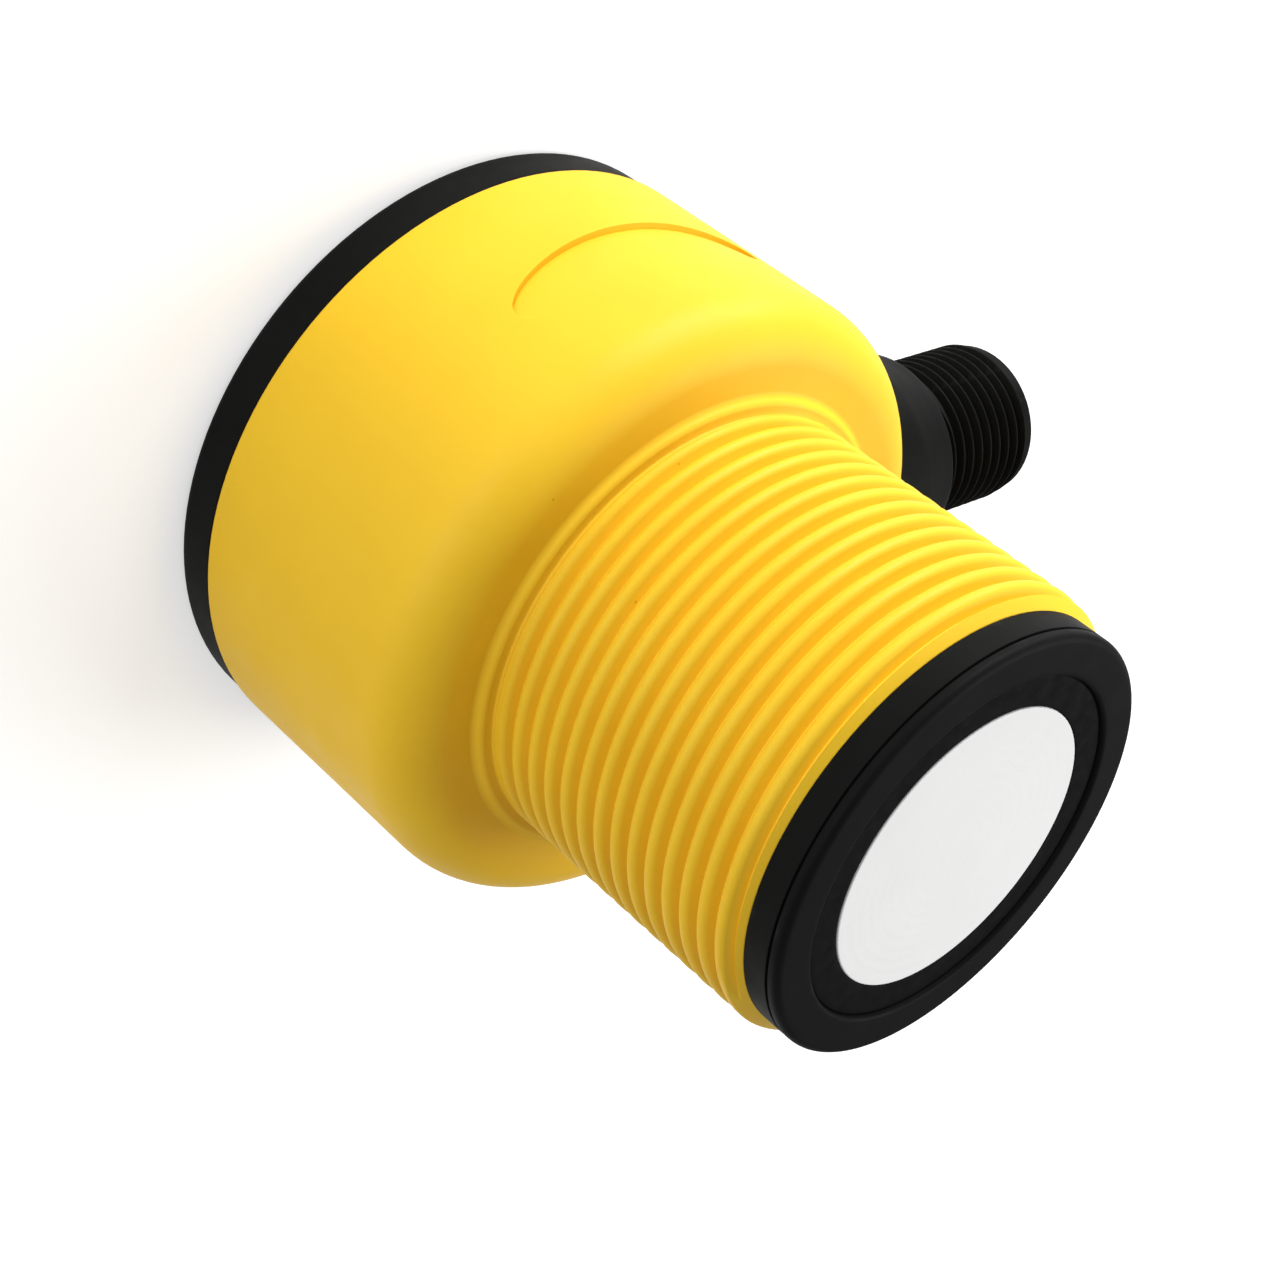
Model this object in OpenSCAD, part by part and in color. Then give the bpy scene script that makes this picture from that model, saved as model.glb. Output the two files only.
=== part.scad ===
// Ultrasonic distance sensor: round head, threaded barrel, plug connector at the side.
// Millimetres. +Z runs along the barrel towards the transducer face. The origin is
// the centre of the rear cover's back face. The plug connector points along +Y.

/* [Head] */
// Outer diameter of the round head
head_d = 67.4; // [60:0.1:85]
// Height of the shoulder face above the back of the sensor
head_top = 36; // [34:0.1:46]
// Radius of the rounded shoulder
shoulder_r = 5.5; // [2:0.1:8]
// Wall of the head
head_wall = 3.5; // [2.5:0.1:5]
// Thickness of the head's roof round the barrel
roof_t = 4.6; // [3:0.1:6]

/* [Grip recess] */
// Height at which the recess in the head's side starts
recess_z = 16.7; // [12:0.1:20]
// Width of the recess
recess_w = 30; // [20:0.5:36]
// Height of the recess's curved rear edge
recess_rise = 4.9; // [2:0.1:8]
// Depth of the recess at its rear edge
recess_depth = 0.5; // [0.2:0.05:1]
// Length over which the recess runs out into the head's side
recess_fade = 9; // [6:0.1:12]

/* [Barrel] */
// Outer diameter of the barrel's thread, a pipe thread of 11 turns to the inch
thread_d = 47.8; // [44:0.1:58]
// Wall between the bore and the outside of the thread
barrel_wall = 3.5; // [3:0.1:4.5]
// Chamfer on the barrel's front end
barrel_chamfer = 1.3; // [0.5:0.1:1.5]
// Step of the ring at the barrel's root, outside the thread
root_ring_step = 1.3; // [0.5:0.1:2]
// Height of the ring at the barrel's root
root_ring_h = 0.8; // [0.4:0.1:2]
// Width of the groove between the root ring and the thread
relief_w = 0.6; // [0.4:0.1:2]
// Depth of that groove below the thread's crests
relief_depth = 0.7; // [0.4:0.05:1.4]
// Depth of the bevel on the root ring's inner edge, which leads into that groove
ring_bevel = 0.5; // [0.2:0.1:0.6]

/* [Rear cover] */
// Height of the cover's visible rim
cover_h = 5.1; // [4:0.1:8]
// How much smaller the cover's radius is than the head's
cover_step = 0.3; // [0:0.05:1]
// Radius of the cover's rear edge
cover_edge_r = 1; // [0.4:0.1:2]
// Thickness of the cover's plate
plate_t = 2.5; // [2:0.1:3]
// Length of the spigot that enters the head
spigot_l = 5; // [4.5:0.1:8]
// Wall of the spigot
spigot_wall = 3; // [2.5:0.1:4]
// Chamfer on both edges at the joint between cover and head
joint_chamfer = 0.4; // [0.2:0.05:0.8]

/* [Buttons and indicators] */
// Diameter of a push button
button_d = 9; // [7:0.1:11]
// Distance between the two buttons
button_pitch = 22; // [16:0.5:26]
// Place of the buttons from the centre, away from the connector
button_y = -6; // [-10:0.5:0]
// How far a button lies below the back face
button_recess = 0.5; // [0.3:0.1:1]
// Travel of a button
button_travel = 0.5; // [0.3:0.05:0.8]
// Width of the flange that keeps a button in the cover
button_flange_w = 1.1; // [0.8:0.1:1.6]
// Thickness of that flange
button_flange_t = 1; // [0.8:0.1:1.5]
// Diameter of an indicator window
window_d = 3; // [2:0.1:4]
// Distance between neighbouring windows
window_pitch = 8; // [6:0.5:10]
// Place of the windows from the centre, towards the connector
window_y = 12; // [8:0.5:16]

/* [Connector] */
// Diameter of the connector's thread
plug_thread_d = 18; // [15:0.1:20]
// Length of the connector's thread
plug_thread_l = 11.8; // [10:0.1:16]
// Distance of the connector's axis below the head's roof
plug_drop = 10.4; // [10:0.1:14]
// How much larger the radius of the collar's narrow end is than the connector thread's
collar_step = 2; // [1:0.1:3]
// How much larger the collar's radius is at the head than at its narrow end
collar_flare = 1.6; // [0.5:0.1:2.5]
// Length over which the collar narrows
collar_cone_l = 5; // [3:0.1:8]
// Length of the collar
collar_l = 16.5; // [12:0.1:20]
// Radius of the collar's rim
collar_edge_r = 1.2; // [0.5:0.1:1.8]
// Depth of the collar's flat seat where it is shallowest, at its sides
seat_sink = 0.1; // [0:0.05:0.4]
// Length of the plain lip at the connector's end
lip_l = 1.6; // [1:0.1:3]
// How much smaller the lip's radius is than the connector thread's
lip_step = 0.4; // [0.2:0.1:1]
// Wall between the socket and the outside of the connector's thread
socket_wall = 1.9; // [1.5:0.1:2.5]
// Depth of the socket
socket_depth = 11.5; // [9:0.1:13]
// Number of contact pins
pin_count = 5; // [3:1:6]
// Diameter of a contact pin
pin_d = 1.6; // [1:0.1:2]
// Diameter of the circle of pins
pin_circle = 9.2; // [8.6:0.1:10]
// Diameter of the threaded tail that passes through the head's wall
tail_d = 14; // [13:0.1:15]
// Smallest wall of the nut on that tail
nut_wall = 1.5; // [1:0.1:3]
// Thickness of the nut
nut_t = 4; // [3:0.1:5]

/* [Transducer] */
// Overall height of the sensor
body_h = 74.1; // [68:0.1:96]
// Height of the front bezel's rim, in front of the barrel
bezel_h = 4.2; // [3:0.1:6]
// How much smaller the bezel's radius is than the thread's
bezel_step = 1.3; // [1:0.1:2]
// Wall of the bezel's spigot
bezel_wall = 1.9; // [1.5:0.1:2.5]
// Length of the bezel's spigot inside the barrel
bezel_spigot_l = 9.9; // [8:0.1:12]
// Depth of the inner ring below the bezel's face
face_sink = 0.5; // [0.2:0.1:1]
// Diameter of the white transducer face
face_d = 30; // [26:0.1:32]
// Thickness of the transducer face in front of the piezo disc
face_t = 3.7; // [2:0.1:5]
// Width of the rim that the transducer face has round the piezo disc
face_rim = 2.4; // [1.5:0.1:4]
// Thickness of the piezo disc
piezo_t = 3; // [2:0.1:3.5]
// Thickness of the damping block behind the piezo disc
backing_t = 4.5; // [3:0.1:5]

/* [Electronics] */
// Thickness of the circuit boards
board_t = 1.6; // [1:0.1:2]
// Height of the control board above the cover's plate
post_h = 5.5; // [5:0.1:6]
// Gap between the control board and the end of the main board
board_lift = 2.4; // [2:0.1:4]
// Distance between the main board's edge and the barrel's bore
board_edge_gap = 2.4; // [1.5:0.1:3]
// Radius of the transformer core's flanges
core_r = 7.5; // [5:0.1:9]
// Height of the transformer core
core_h = 9; // [6:0.1:12]

/* [Hidden] */
$fn = 96;

// Clearances and small shared sizes
spigot_gap = 0.1;       // radial, rear cover in head, bezel in barrel
button_gap = 0.12;      // radial, button in cover
board_gap = 0.5;        // radial, control board in the cover's spigot
slot_gap = 0.05;        // each side of the main board in its rails
tail_gap = 0.05;        // radial, connector tail in the head's wall
plunger_gap = 0.1;      // radial, plunger in its switch
over = 1;               // how far a cut runs past the face that it cuts

// Head and rear cover
head_r = head_d / 2;
root_ring_r = thread_d / 2 + root_ring_step;
shoulder = min(shoulder_r, head_r - root_ring_r - 0.5);
cavity_r = head_r - head_wall;
roof_z = head_top - roof_t;
cover_r = head_r - cover_step;
spigot_r = cavity_r - spigot_gap;
spigot_in_r = spigot_r - spigot_wall;
spigot_top = cover_h + spigot_l;
seal_w = 2;
seal_depth = 1.4;
seal_side_gap = 0.15;
cover_seal_z = cover_h + spigot_l / 2;

// Barrel and bezel
thread_r = thread_d / 2;
thread_start = head_top + root_ring_h + relief_w;
ring_in_r = thread_r + 0.15;
bore_r = thread_r - barrel_wall;
bezel_r = thread_r - bezel_step;
barrel_end = body_h - bezel_h;
bezel_spigot_r = bore_r - spigot_gap;
bezel_in_r = bezel_spigot_r - bezel_wall;
bezel_back = barrel_end - bezel_spigot_l;
bezel_edge_r = 0.8;
bezel_line_z = body_h - bezel_edge_r - 0.5;
bezel_line_w = 0.3;
bezel_seal_z = barrel_end - 3.5;
bezel_seal_depth = 0.9;
bezel_seal_w = 1.4;
rail_stop = bezel_back - 2;

// Transducer stack, from the front backwards
face_front = body_h - face_sink + 0.1;
face_r = face_d / 2;
piezo_r = face_r - face_rim;
piezo_front = face_front - face_t;
piezo_back = piezo_front - piezo_t;
backing_back = piezo_back - backing_t;
ring_lip_t = 1.4;
ring_lip_r = face_r - 2;
ring_back = backing_back - ring_lip_t;
ring_front = body_h - face_sink;

// Boards
control_z = plate_t + post_h;
control_top = control_z + board_t;
control_r = spigot_in_r - board_gap;
post_r = 2.6;
post_circle_r = spigot_in_r - 5;
post_angles = [30, 150, 270];
screw_r = 1.1;
screw_hole_r = 1.3;
screw_head_r = 2.2;
screw_head_t = 1.2;
screw_l = 5;
main_bottom = control_top + board_lift;
main_half_w = bore_r - board_edge_gap;
main_front_y = 0;
main_back_y = main_front_y - board_t;
rail_bite = 1.8;
rail_t = 2;

// Buttons
button_r = button_d / 2;
button_hole_r = button_r + button_gap;
button_back = button_recess;
flange_z = plate_t;
flange_top = flange_z + button_flange_t;
seal_ring_w = 0.9;
seal_ring_z = 0.9;
switch_w = 6;
switch_h = 3.3;
switch_face_z = control_z - switch_h;
plunger_r = 1.7;
plunger_in = 1;
led_size = [2, 1.2, 0.8];
window_r = window_d / 2;
window_recess = 0.3;
window_flange_w = 0.7;
window_flange_t = 0.8;
window_led_gap = 0.2;

// Connector, measured along its own axis from the barrel's axis
plug_z = roof_z - plug_drop;
plug_thread_r = plug_thread_d / 2;
collar_r = plug_thread_r + collar_step;
collar_base_r = collar_r + collar_flare;
seat_gap = 0.3;
seat_r = collar_base_r + seat_gap;
plug_seat = sqrt(head_r * head_r - seat_r * seat_r) - seat_sink;
collar_end = plug_seat + collar_l;
plug_thread_end = collar_end + plug_thread_l;
plug_end = plug_thread_end + lip_l;
plug_relief_w = 0.8;
plug_relief_depth = 0.9;
lip_r = plug_thread_r - lip_step;
lip_chamfer = 0.5;
pad_t = 5;
pad_face = plug_seat - pad_t;
tail_r = tail_d / 2;
nut_flat_r = tail_r + nut_wall;
nut_corner_r = nut_flat_r / cos(30);
pad_half_w = nut_corner_r + 1.2;
nut_back = pad_face - nut_t;
tail_back = nut_back - 2.5;
socket_r = plug_thread_r - socket_wall;
socket_floor = plug_end - socket_depth;
insert_t = 6;
insert_back = socket_floor - insert_t;
tail_bore_r = tail_r - 1.2;
key_w = 1.6;
key_h = 0.8;
pin_r = pin_d / 2;
pin_sink = 3.5;
pin_front = plug_end - pin_sink;
pin_back = insert_back - 3;
pin_tip = 0.3;
lead_r = 0.55;
gasket_in_r = tail_r + 1.2;
gasket_out_r = collar_base_r - 0.9;
gasket_t = 0.8;

// Points of an arc about (x, y), for outlines
function arc(x, y, r, from, to, steps = 8) =
    [for (i = [0:steps]) let (a = from + (to - from) * i / steps) [x + r * cos(a), y + r * sin(a)]];

// Section of a ring seal that is squeezed flat where it touches, as four flats with cut corners
module squeezed_ring(inner_r, outer_r, z, width) {
    cut = (outer_r - inner_r) / 4;
    rotate_extrude()
        polygon([
            [inner_r, z - width / 2 + cut], [inner_r + cut, z - width / 2],
            [outer_r - cut, z - width / 2], [outer_r, z - width / 2 + cut],
            [outer_r, z + width / 2 - cut], [outer_r - cut, z + width / 2],
            [inner_r + cut, z + width / 2], [inner_r, z + width / 2 - cut]
        ]);
}

// Puts children whose own +Z is the connector's axis onto the head
module on_plug_axis() {
    translate([0, 0, plug_z]) rotate([-90, 0, 0]) children();
}

module at_posts() {
    for (a = post_angles) rotate(a) translate([post_circle_r, 0, 0]) children();
}

module at_windows() {
    for (i = [-1:1]) translate([i * window_pitch, window_y, 0]) children();
}

module at_buttons() {
    for (side = [-1, 1]) translate([side * button_pitch / 2, button_y, 0]) children();
}

// Outline of the head with its rounded shoulder, the root ring and the barrel
module housing_outside() {
    rotate_extrude()
        polygon(concat(
            [[0, cover_h], [head_r - joint_chamfer, cover_h], [head_r, cover_h + joint_chamfer]],
            arc(head_r - shoulder, head_top - shoulder, shoulder, 0, 90, 12),
            [
                [root_ring_r, head_top],
                [root_ring_r, head_top + root_ring_h],
                [ring_in_r, head_top + root_ring_h],
                [thread_r - relief_depth, head_top + root_ring_h - ring_bevel],
                [thread_r - relief_depth, thread_start],
                [thread_r, thread_start],
                [thread_r, barrel_end - barrel_chamfer],
                [thread_r - barrel_chamfer, barrel_end],
                [0, barrel_end]
            ]
        ));
}

// Shallow finger recess with a crisp curved rear edge, which runs out towards the front
module grip_recess() {
    intersection() {
        rotate([90, 0, 90])
            linear_extrude(head_r + over)
                polygon(concat(
                    [for (i = [0:16]) let (a = 180 * i / 16)
                        [-recess_w / 2 * cos(a), recess_z + recess_rise * (1 - sin(a))]],
                    [[recess_w / 2, recess_z + recess_fade + over],
                     [-recess_w / 2, recess_z + recess_fade + over]]
                ));
        rotate_extrude()
            polygon([
                [head_r - recess_depth, recess_z - over],
                [head_r - recess_depth, recess_z],
                [head_r, recess_z + recess_fade],
                [head_r + over, recess_z + recess_fade],
                [head_r + over, recess_z - over]
            ]);
    }
}

// Head cavity with the flat pad that the connector clamps on
module head_cavity() {
    difference() {
        translate([0, 0, cover_h - over])
            cylinder(r = cavity_r, h = roof_z - cover_h + over);
        translate([-pad_half_w, pad_face, spigot_top + spigot_gap])
            cube([2 * pad_half_w, cavity_r, roof_z]);
    }
}

// One pair of ribs that guides an edge of the main board, closed at the front end
module board_rail() {
    rail_x = main_half_w - rail_bite;
    difference() {
        translate([rail_x, main_back_y - slot_gap - rail_t, roof_z])
            cube([bore_r - rail_x, board_t + 2 * slot_gap + 2 * rail_t, rail_stop - roof_z + rail_t / 2]);
        translate([rail_x - over, main_back_y - slot_gap, roof_z - over])
            cube([bore_r - rail_x + 2 * over, board_t + 2 * slot_gap, rail_stop - roof_z + over]);
    }
}

module housing() {
    color("gold")
        union() {
            difference() {
                housing_outside();
                head_cavity();
                translate([0, 0, roof_z - over])
                    cylinder(r = bore_r, h = barrel_end - roof_z + 2 * over);
                grip_recess();
                mirror([1, 0, 0]) grip_recess();
                on_plug_axis() {
                    translate([0, 0, pad_face - over])
                        cylinder(r = tail_r + tail_gap, h = pad_t + 2 * over);
                    translate([0, 0, plug_seat])
                        cylinder(r = seat_r, h = head_r);
                }
            }
            intersection() {
                union() {
                    board_rail();
                    mirror([1, 0, 0]) board_rail();
                }
                translate([0, 0, roof_z])
                    cylinder(r = bore_r + barrel_wall / 4, h = barrel_end - roof_z);
            }
        }
}

module rear_cover() {
    color("dimgray")
        difference() {
            union() {
                rotate_extrude()
                    polygon(concat(
                        [[0, 0]],
                        arc(cover_r - cover_edge_r, cover_edge_r, cover_edge_r, -90, 0, 6),
                        [
                            [cover_r, cover_h - joint_chamfer],
                            [cover_r - joint_chamfer, cover_h],
                            [spigot_r, cover_h],
                            [spigot_r, cover_seal_z - seal_w / 2 - seal_side_gap],
                            [spigot_r - seal_depth, cover_seal_z - seal_w / 2 - seal_side_gap],
                            [spigot_r - seal_depth, cover_seal_z + seal_w / 2 + seal_side_gap],
                            [spigot_r, cover_seal_z + seal_w / 2 + seal_side_gap],
                            [spigot_r, spigot_top],
                            [spigot_in_r, spigot_top],
                            [spigot_in_r, plate_t],
                            [0, plate_t]
                        ]
                    ));
                at_posts()
                    translate([0, 0, plate_t - over / 2])
                        cylinder(r = post_r, h = post_h + over / 2);
            }
            at_posts()
                translate([0, 0, control_z - screw_l + board_t])
                    cylinder(r = screw_r, h = screw_l);
            at_buttons() {
                translate([0, 0, -over])
                    cylinder(r = button_hole_r, h = plate_t + 2 * over);
                translate([0, 0, seal_ring_z])
                    cylinder(r = button_hole_r + seal_ring_w, h = seal_ring_w);
            }
            at_windows()
                translate([0, 0, -over])
                    cylinder(r = window_r, h = plate_t + 2 * over);
        }
}

module cover_seal() {
    color("black") squeezed_ring(spigot_r - seal_depth, cavity_r, cover_seal_z, seal_w);
}

module control_board() {
    color("darkgreen")
        difference() {
            translate([0, 0, control_z]) cylinder(r = control_r, h = board_t);
            at_posts()
                translate([0, 0, control_z - over])
                    cylinder(r = screw_hole_r, h = board_t + 2 * over);
        }
}

module board_screws() {
    color("silver")
        at_posts() {
            translate([0, 0, control_top - screw_l + over])
                cylinder(r = screw_r, h = screw_l - over);
            translate([0, 0, control_top])
                cylinder(r = screw_head_r, h = screw_head_t);
        }
}

// Round key with a shallow dished face and a flange that keeps it in the cover
module teach_button(side) {
    dish_r = 22;
    dish_depth = 0.25;
    color("gainsboro")
        translate([side * button_pitch / 2, button_y, 0])
            difference() {
                union() {
                    translate([0, 0, button_back])
                        cylinder(r = button_r, h = flange_z - button_back);
                    translate([0, 0, flange_z])
                        cylinder(r = button_r + button_flange_w, h = button_flange_t);
                }
                translate([0, 0, button_back + dish_depth - dish_r])
                    sphere(r = dish_r);
            }
}

module teach_button_left() {
    teach_button(-1);
}

module teach_button_right() {
    teach_button(1);
}

module switch_plunger(side) {
    color("white")
        translate([side * button_pitch / 2, button_y, flange_top])
            cylinder(r = plunger_r, h = switch_face_z - flange_top + plunger_in);
}

module plunger_left() {
    switch_plunger(-1);
}

module plunger_right() {
    switch_plunger(1);
}

module button_seals() {
    color("black")
        at_buttons()
            translate([0, 0, seal_ring_z])
                difference() {
                    cylinder(r = button_hole_r + seal_ring_w, h = seal_ring_w);
                    translate([0, 0, -over])
                        cylinder(r = button_hole_r, h = seal_ring_w + 2 * over);
                }
}

// Switch bodies, each with a well that its plunger slides in
module tact_switches() {
    color("black")
        at_buttons()
            difference() {
                translate([-switch_w / 2, -switch_w / 2, switch_face_z])
                    cube([switch_w, switch_w, switch_h]);
                translate([0, 0, switch_face_z - over])
                    cylinder(r = plunger_r + plunger_gap,
                             h = over + plunger_in + button_travel + plunger_gap);
            }
}

module indicator_windows() {
    color("lightcyan")
        at_windows() {
            translate([0, 0, window_recess])
                cylinder(r = window_r, h = control_z - led_size[2] - window_led_gap - window_recess);
            translate([0, 0, plate_t])
                cylinder(r = window_r + window_flange_w, h = window_flange_t);
        }
}

module status_leds() {
    color("lightyellow")
        at_windows()
            translate([-led_size[0] / 2, -led_size[1] / 2, control_z - led_size[2]])
                cube(led_size);
}

// Pin header that stands on the control board and is soldered to the main board
module board_link() {
    link_w = 14;
    link_t = 2.5;
    link_h = 4.4;
    color("black")
        translate([-link_w / 2, main_front_y, control_top])
            cube([link_w, link_t, link_h]);
}

module main_board() {
    color("darkgreen")
        translate([-main_half_w, main_back_y, main_bottom])
            cube([2 * main_half_w, board_t, rail_stop - main_bottom]);
}

lead_on_board = 3;
lead_gap = 1;
core_z = rail_stop - lead_on_board - lead_gap - core_r;
core_flange_t = 2;
core_post_r = 3;
winding_r = core_r - 0.5;

// Children whose own +Z leaves the main board's front face at the transformer
module on_main_board() {
    translate([0, main_front_y, core_z]) rotate([-90, 0, 0]) children();
}

module transformer_core() {
    color("gray")
        on_main_board() {
            cylinder(r = core_r, h = core_flange_t);
            cylinder(r = core_post_r, h = core_h);
            translate([0, 0, core_h - core_flange_t])
                cylinder(r = core_r, h = core_flange_t);
        }
}

module transformer_winding() {
    color("chocolate")
        on_main_board()
            translate([0, 0, core_flange_t])
                difference() {
                    cylinder(r = winding_r, h = core_h - 2 * core_flange_t);
                    translate([0, 0, -over])
                        cylinder(r = core_post_r, h = core_h);
                }
}

module storage_capacitors() {
    can_r = 4;
    can_h = 12;
    can_x = 7;
    color("slateblue")
        for (side = [-1, 1])
            translate([side * can_x, main_back_y - can_r, core_z - can_h / 2])
                cylinder(r = can_r, h = can_h);
}

module chip(size, z) {
    translate([-size[0] / 2, main_back_y - size[1], z]) cube(size);
}

module processor_chip() {
    color("black") chip([10, 1.4, 10], main_bottom + 6);
}

module amplifier_chip() {
    color("black") chip([6, 1.4, 5], rail_stop - 6.5);
}

lead_x = 5;

module transducer_leads() {
    color("firebrick")
        for (side = [-1, 1])
            translate([side * lead_x, main_front_y + lead_r, rail_stop - lead_on_board])
                cylinder(r = lead_r, h = piezo_back - rail_stop + lead_on_board);
}

module backing_block() {
    color("peru")
        difference() {
            translate([0, 0, backing_back]) cylinder(r = face_r, h = backing_t);
            for (side = [-1, 1])
                translate([side * lead_x, main_front_y + lead_r, backing_back - over])
                    cylinder(r = lead_r, h = backing_t + 2 * over);
        }
}

module piezo_disc() {
    color("lightgray")
        translate([0, 0, piezo_back]) cylinder(r = piezo_r, h = piezo_t);
}

// Matching layer, with a pocket at its back that holds the piezo disc
module transducer_face() {
    color("white")
        difference() {
            translate([0, 0, piezo_back]) cylinder(r = face_r, h = face_front - piezo_back);
            translate([0, 0, piezo_back - over]) cylinder(r = piezo_r, h = piezo_t + over);
        }
}

// Soft ring that keeps the transducer's vibration out of the bezel
module decoupling_ring() {
    color("black")
        rotate_extrude()
            polygon([
                [ring_lip_r, ring_back], [bezel_in_r, ring_back], [bezel_in_r, ring_front],
                [face_r, ring_front], [face_r, backing_back], [ring_lip_r, backing_back]
            ]);
}

module front_bezel() {
    color("dimgray")
        rotate_extrude()
            polygon(concat(
                [
                    [bezel_in_r, bezel_back], [bezel_spigot_r, bezel_back],
                    [bezel_spigot_r, bezel_seal_z - bezel_seal_w / 2 - seal_side_gap],
                    [bezel_spigot_r - bezel_seal_depth, bezel_seal_z - bezel_seal_w / 2 - seal_side_gap],
                    [bezel_spigot_r - bezel_seal_depth, bezel_seal_z + bezel_seal_w / 2 + seal_side_gap],
                    [bezel_spigot_r, bezel_seal_z + bezel_seal_w / 2 + seal_side_gap],
                    [bezel_spigot_r, barrel_end], [bezel_r, barrel_end],
                    [bezel_r, bezel_line_z - bezel_line_w / 2],
                    [bezel_r - bezel_line_w, bezel_line_z],
                    [bezel_r, bezel_line_z + bezel_line_w / 2]
                ],
                arc(bezel_r - bezel_edge_r, body_h - bezel_edge_r, bezel_edge_r, 0, 90, 6),
                [[bezel_in_r, body_h]]
            ));
}

module bezel_seal() {
    color("black")
        squeezed_ring(bezel_spigot_r - bezel_seal_depth, bore_r, bezel_seal_z, bezel_seal_w);
}

// Collar, thread and lip on one turned outline, bored for the socket, the insert and the leads
module connector_shell() {
    color("dimgray")
        on_plug_axis() {
            rotate_extrude()
                polygon(concat(
                    [
                        [tail_bore_r, tail_back], [tail_r, tail_back], [tail_r, plug_seat],
                        [gasket_in_r, plug_seat], [gasket_in_r, plug_seat + gasket_t],
                        [gasket_out_r, plug_seat + gasket_t], [gasket_out_r, plug_seat],
                        [collar_base_r, plug_seat],
                        [collar_base_r, collar_end - collar_edge_r - collar_cone_l]
                    ],
                    arc(collar_r - collar_edge_r, collar_end - collar_edge_r, collar_edge_r, 0, 90, 6),
                    [
                        [plug_thread_r - plug_relief_depth, collar_end],
                        [plug_thread_r - plug_relief_depth, collar_end + plug_relief_w],
                        [plug_thread_r, collar_end + plug_relief_w],
                        [plug_thread_r, plug_thread_end], [lip_r, plug_thread_end],
                        [lip_r, plug_end - lip_chamfer], [lip_r - lip_chamfer, plug_end],
                        [socket_r, plug_end], [socket_r, insert_back], [tail_bore_r, insert_back]
                    ]
                ));
            intersection() {
                translate([-key_w / 2, socket_r - key_h, socket_floor])
                    cube([key_w, 2 * key_h, socket_depth - pin_sink]);
                translate([0, 0, socket_floor])
                    cylinder(r = (socket_r + lip_r) / 2, h = socket_depth);
            }
        }
}

module connector_seal() {
    color("black")
        on_plug_axis()
            translate([0, 0, plug_seat])
                difference() {
                    cylinder(r = gasket_out_r, h = gasket_t);
                    translate([0, 0, -over]) cylinder(r = gasket_in_r, h = gasket_t + 2 * over);
                }
}

module connector_nut() {
    color("silver")
        on_plug_axis()
            translate([0, 0, nut_back])
                difference() {
                    cylinder(r = nut_corner_r, h = nut_t, $fn = 6);
                    translate([0, 0, -over]) cylinder(r = tail_r, h = nut_t + 2 * over);
                }
}

module at_pins() {
    for (i = [0:pin_count - 1])
        rotate(-90 + i * 360 / pin_count) translate([pin_circle / 2, 0, 0]) children();
}

module connector_insert() {
    color("gray")
        on_plug_axis()
            difference() {
                translate([0, 0, insert_back]) cylinder(r = socket_r, h = insert_t);
                at_pins()
                    translate([0, 0, insert_back - over]) cylinder(r = pin_r, h = insert_t + 2 * over);
            }
}

module contact_pins() {
    color("goldenrod")
        on_plug_axis()
            at_pins() {
                translate([0, 0, pin_back]) cylinder(r = pin_r, h = pin_front - pin_tip - pin_back);
                translate([0, 0, pin_front - pin_tip])
                    cylinder(r1 = pin_r, r2 = pin_r - pin_tip, h = pin_tip);
            }
}

module connector_leads() {
    color("firebrick")
        on_plug_axis()
            at_pins()
                translate([0, 0, main_front_y]) cylinder(r = lead_r, h = pin_back - main_front_y);
}

housing();
rear_cover();
cover_seal();
control_board();
board_screws();
teach_button_left();
teach_button_right();
plunger_left();
plunger_right();
button_seals();
tact_switches();
indicator_windows();
status_leds();
board_link();
main_board();
transformer_core();
transformer_winding();
storage_capacitors();
processor_chip();
amplifier_chip();
transducer_leads();
backing_block();
piezo_disc();
transducer_face();
decoupling_ring();
front_bezel();
bezel_seal();
connector_shell();
connector_seal();
connector_nut();
connector_insert();
contact_pins();
connector_leads();
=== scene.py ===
# %% [markdown]
# # Ultrasonic sensor with a threaded barrel and a plug connector
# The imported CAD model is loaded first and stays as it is: it says where every piece goes.
# Pieces whose real shape has a thread, a rounded edge or a dished face are then modelled
# finer and stand for their CAD node. All other nodes keep their shape and get a finish.

# %% Load the frame
import math

import bmesh
import bpy
from mathutils import Matrix, Vector


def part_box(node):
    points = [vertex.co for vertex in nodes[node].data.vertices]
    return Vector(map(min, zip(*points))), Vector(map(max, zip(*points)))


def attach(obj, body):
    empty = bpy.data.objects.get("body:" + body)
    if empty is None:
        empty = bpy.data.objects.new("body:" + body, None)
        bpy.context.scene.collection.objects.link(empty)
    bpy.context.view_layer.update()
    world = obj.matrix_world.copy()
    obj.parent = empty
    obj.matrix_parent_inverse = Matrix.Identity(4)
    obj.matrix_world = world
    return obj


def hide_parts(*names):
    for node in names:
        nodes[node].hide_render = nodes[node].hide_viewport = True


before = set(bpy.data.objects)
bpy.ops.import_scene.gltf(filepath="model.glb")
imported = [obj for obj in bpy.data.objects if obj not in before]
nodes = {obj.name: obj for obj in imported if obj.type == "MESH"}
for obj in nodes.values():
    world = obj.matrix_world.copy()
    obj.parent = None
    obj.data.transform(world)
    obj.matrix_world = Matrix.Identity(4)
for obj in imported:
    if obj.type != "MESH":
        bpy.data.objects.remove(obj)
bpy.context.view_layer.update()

MM = 0.001

# %% [markdown]
# ## Camera
# The photograph is taken from close by, with the sensor turned so that its barrel points
# right and down. Four things fix a view: where the camera stands, which way is right,
# which way is up, and the lens. They were fitted to the edges of the head and the barrel
# in the photograph.

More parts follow.
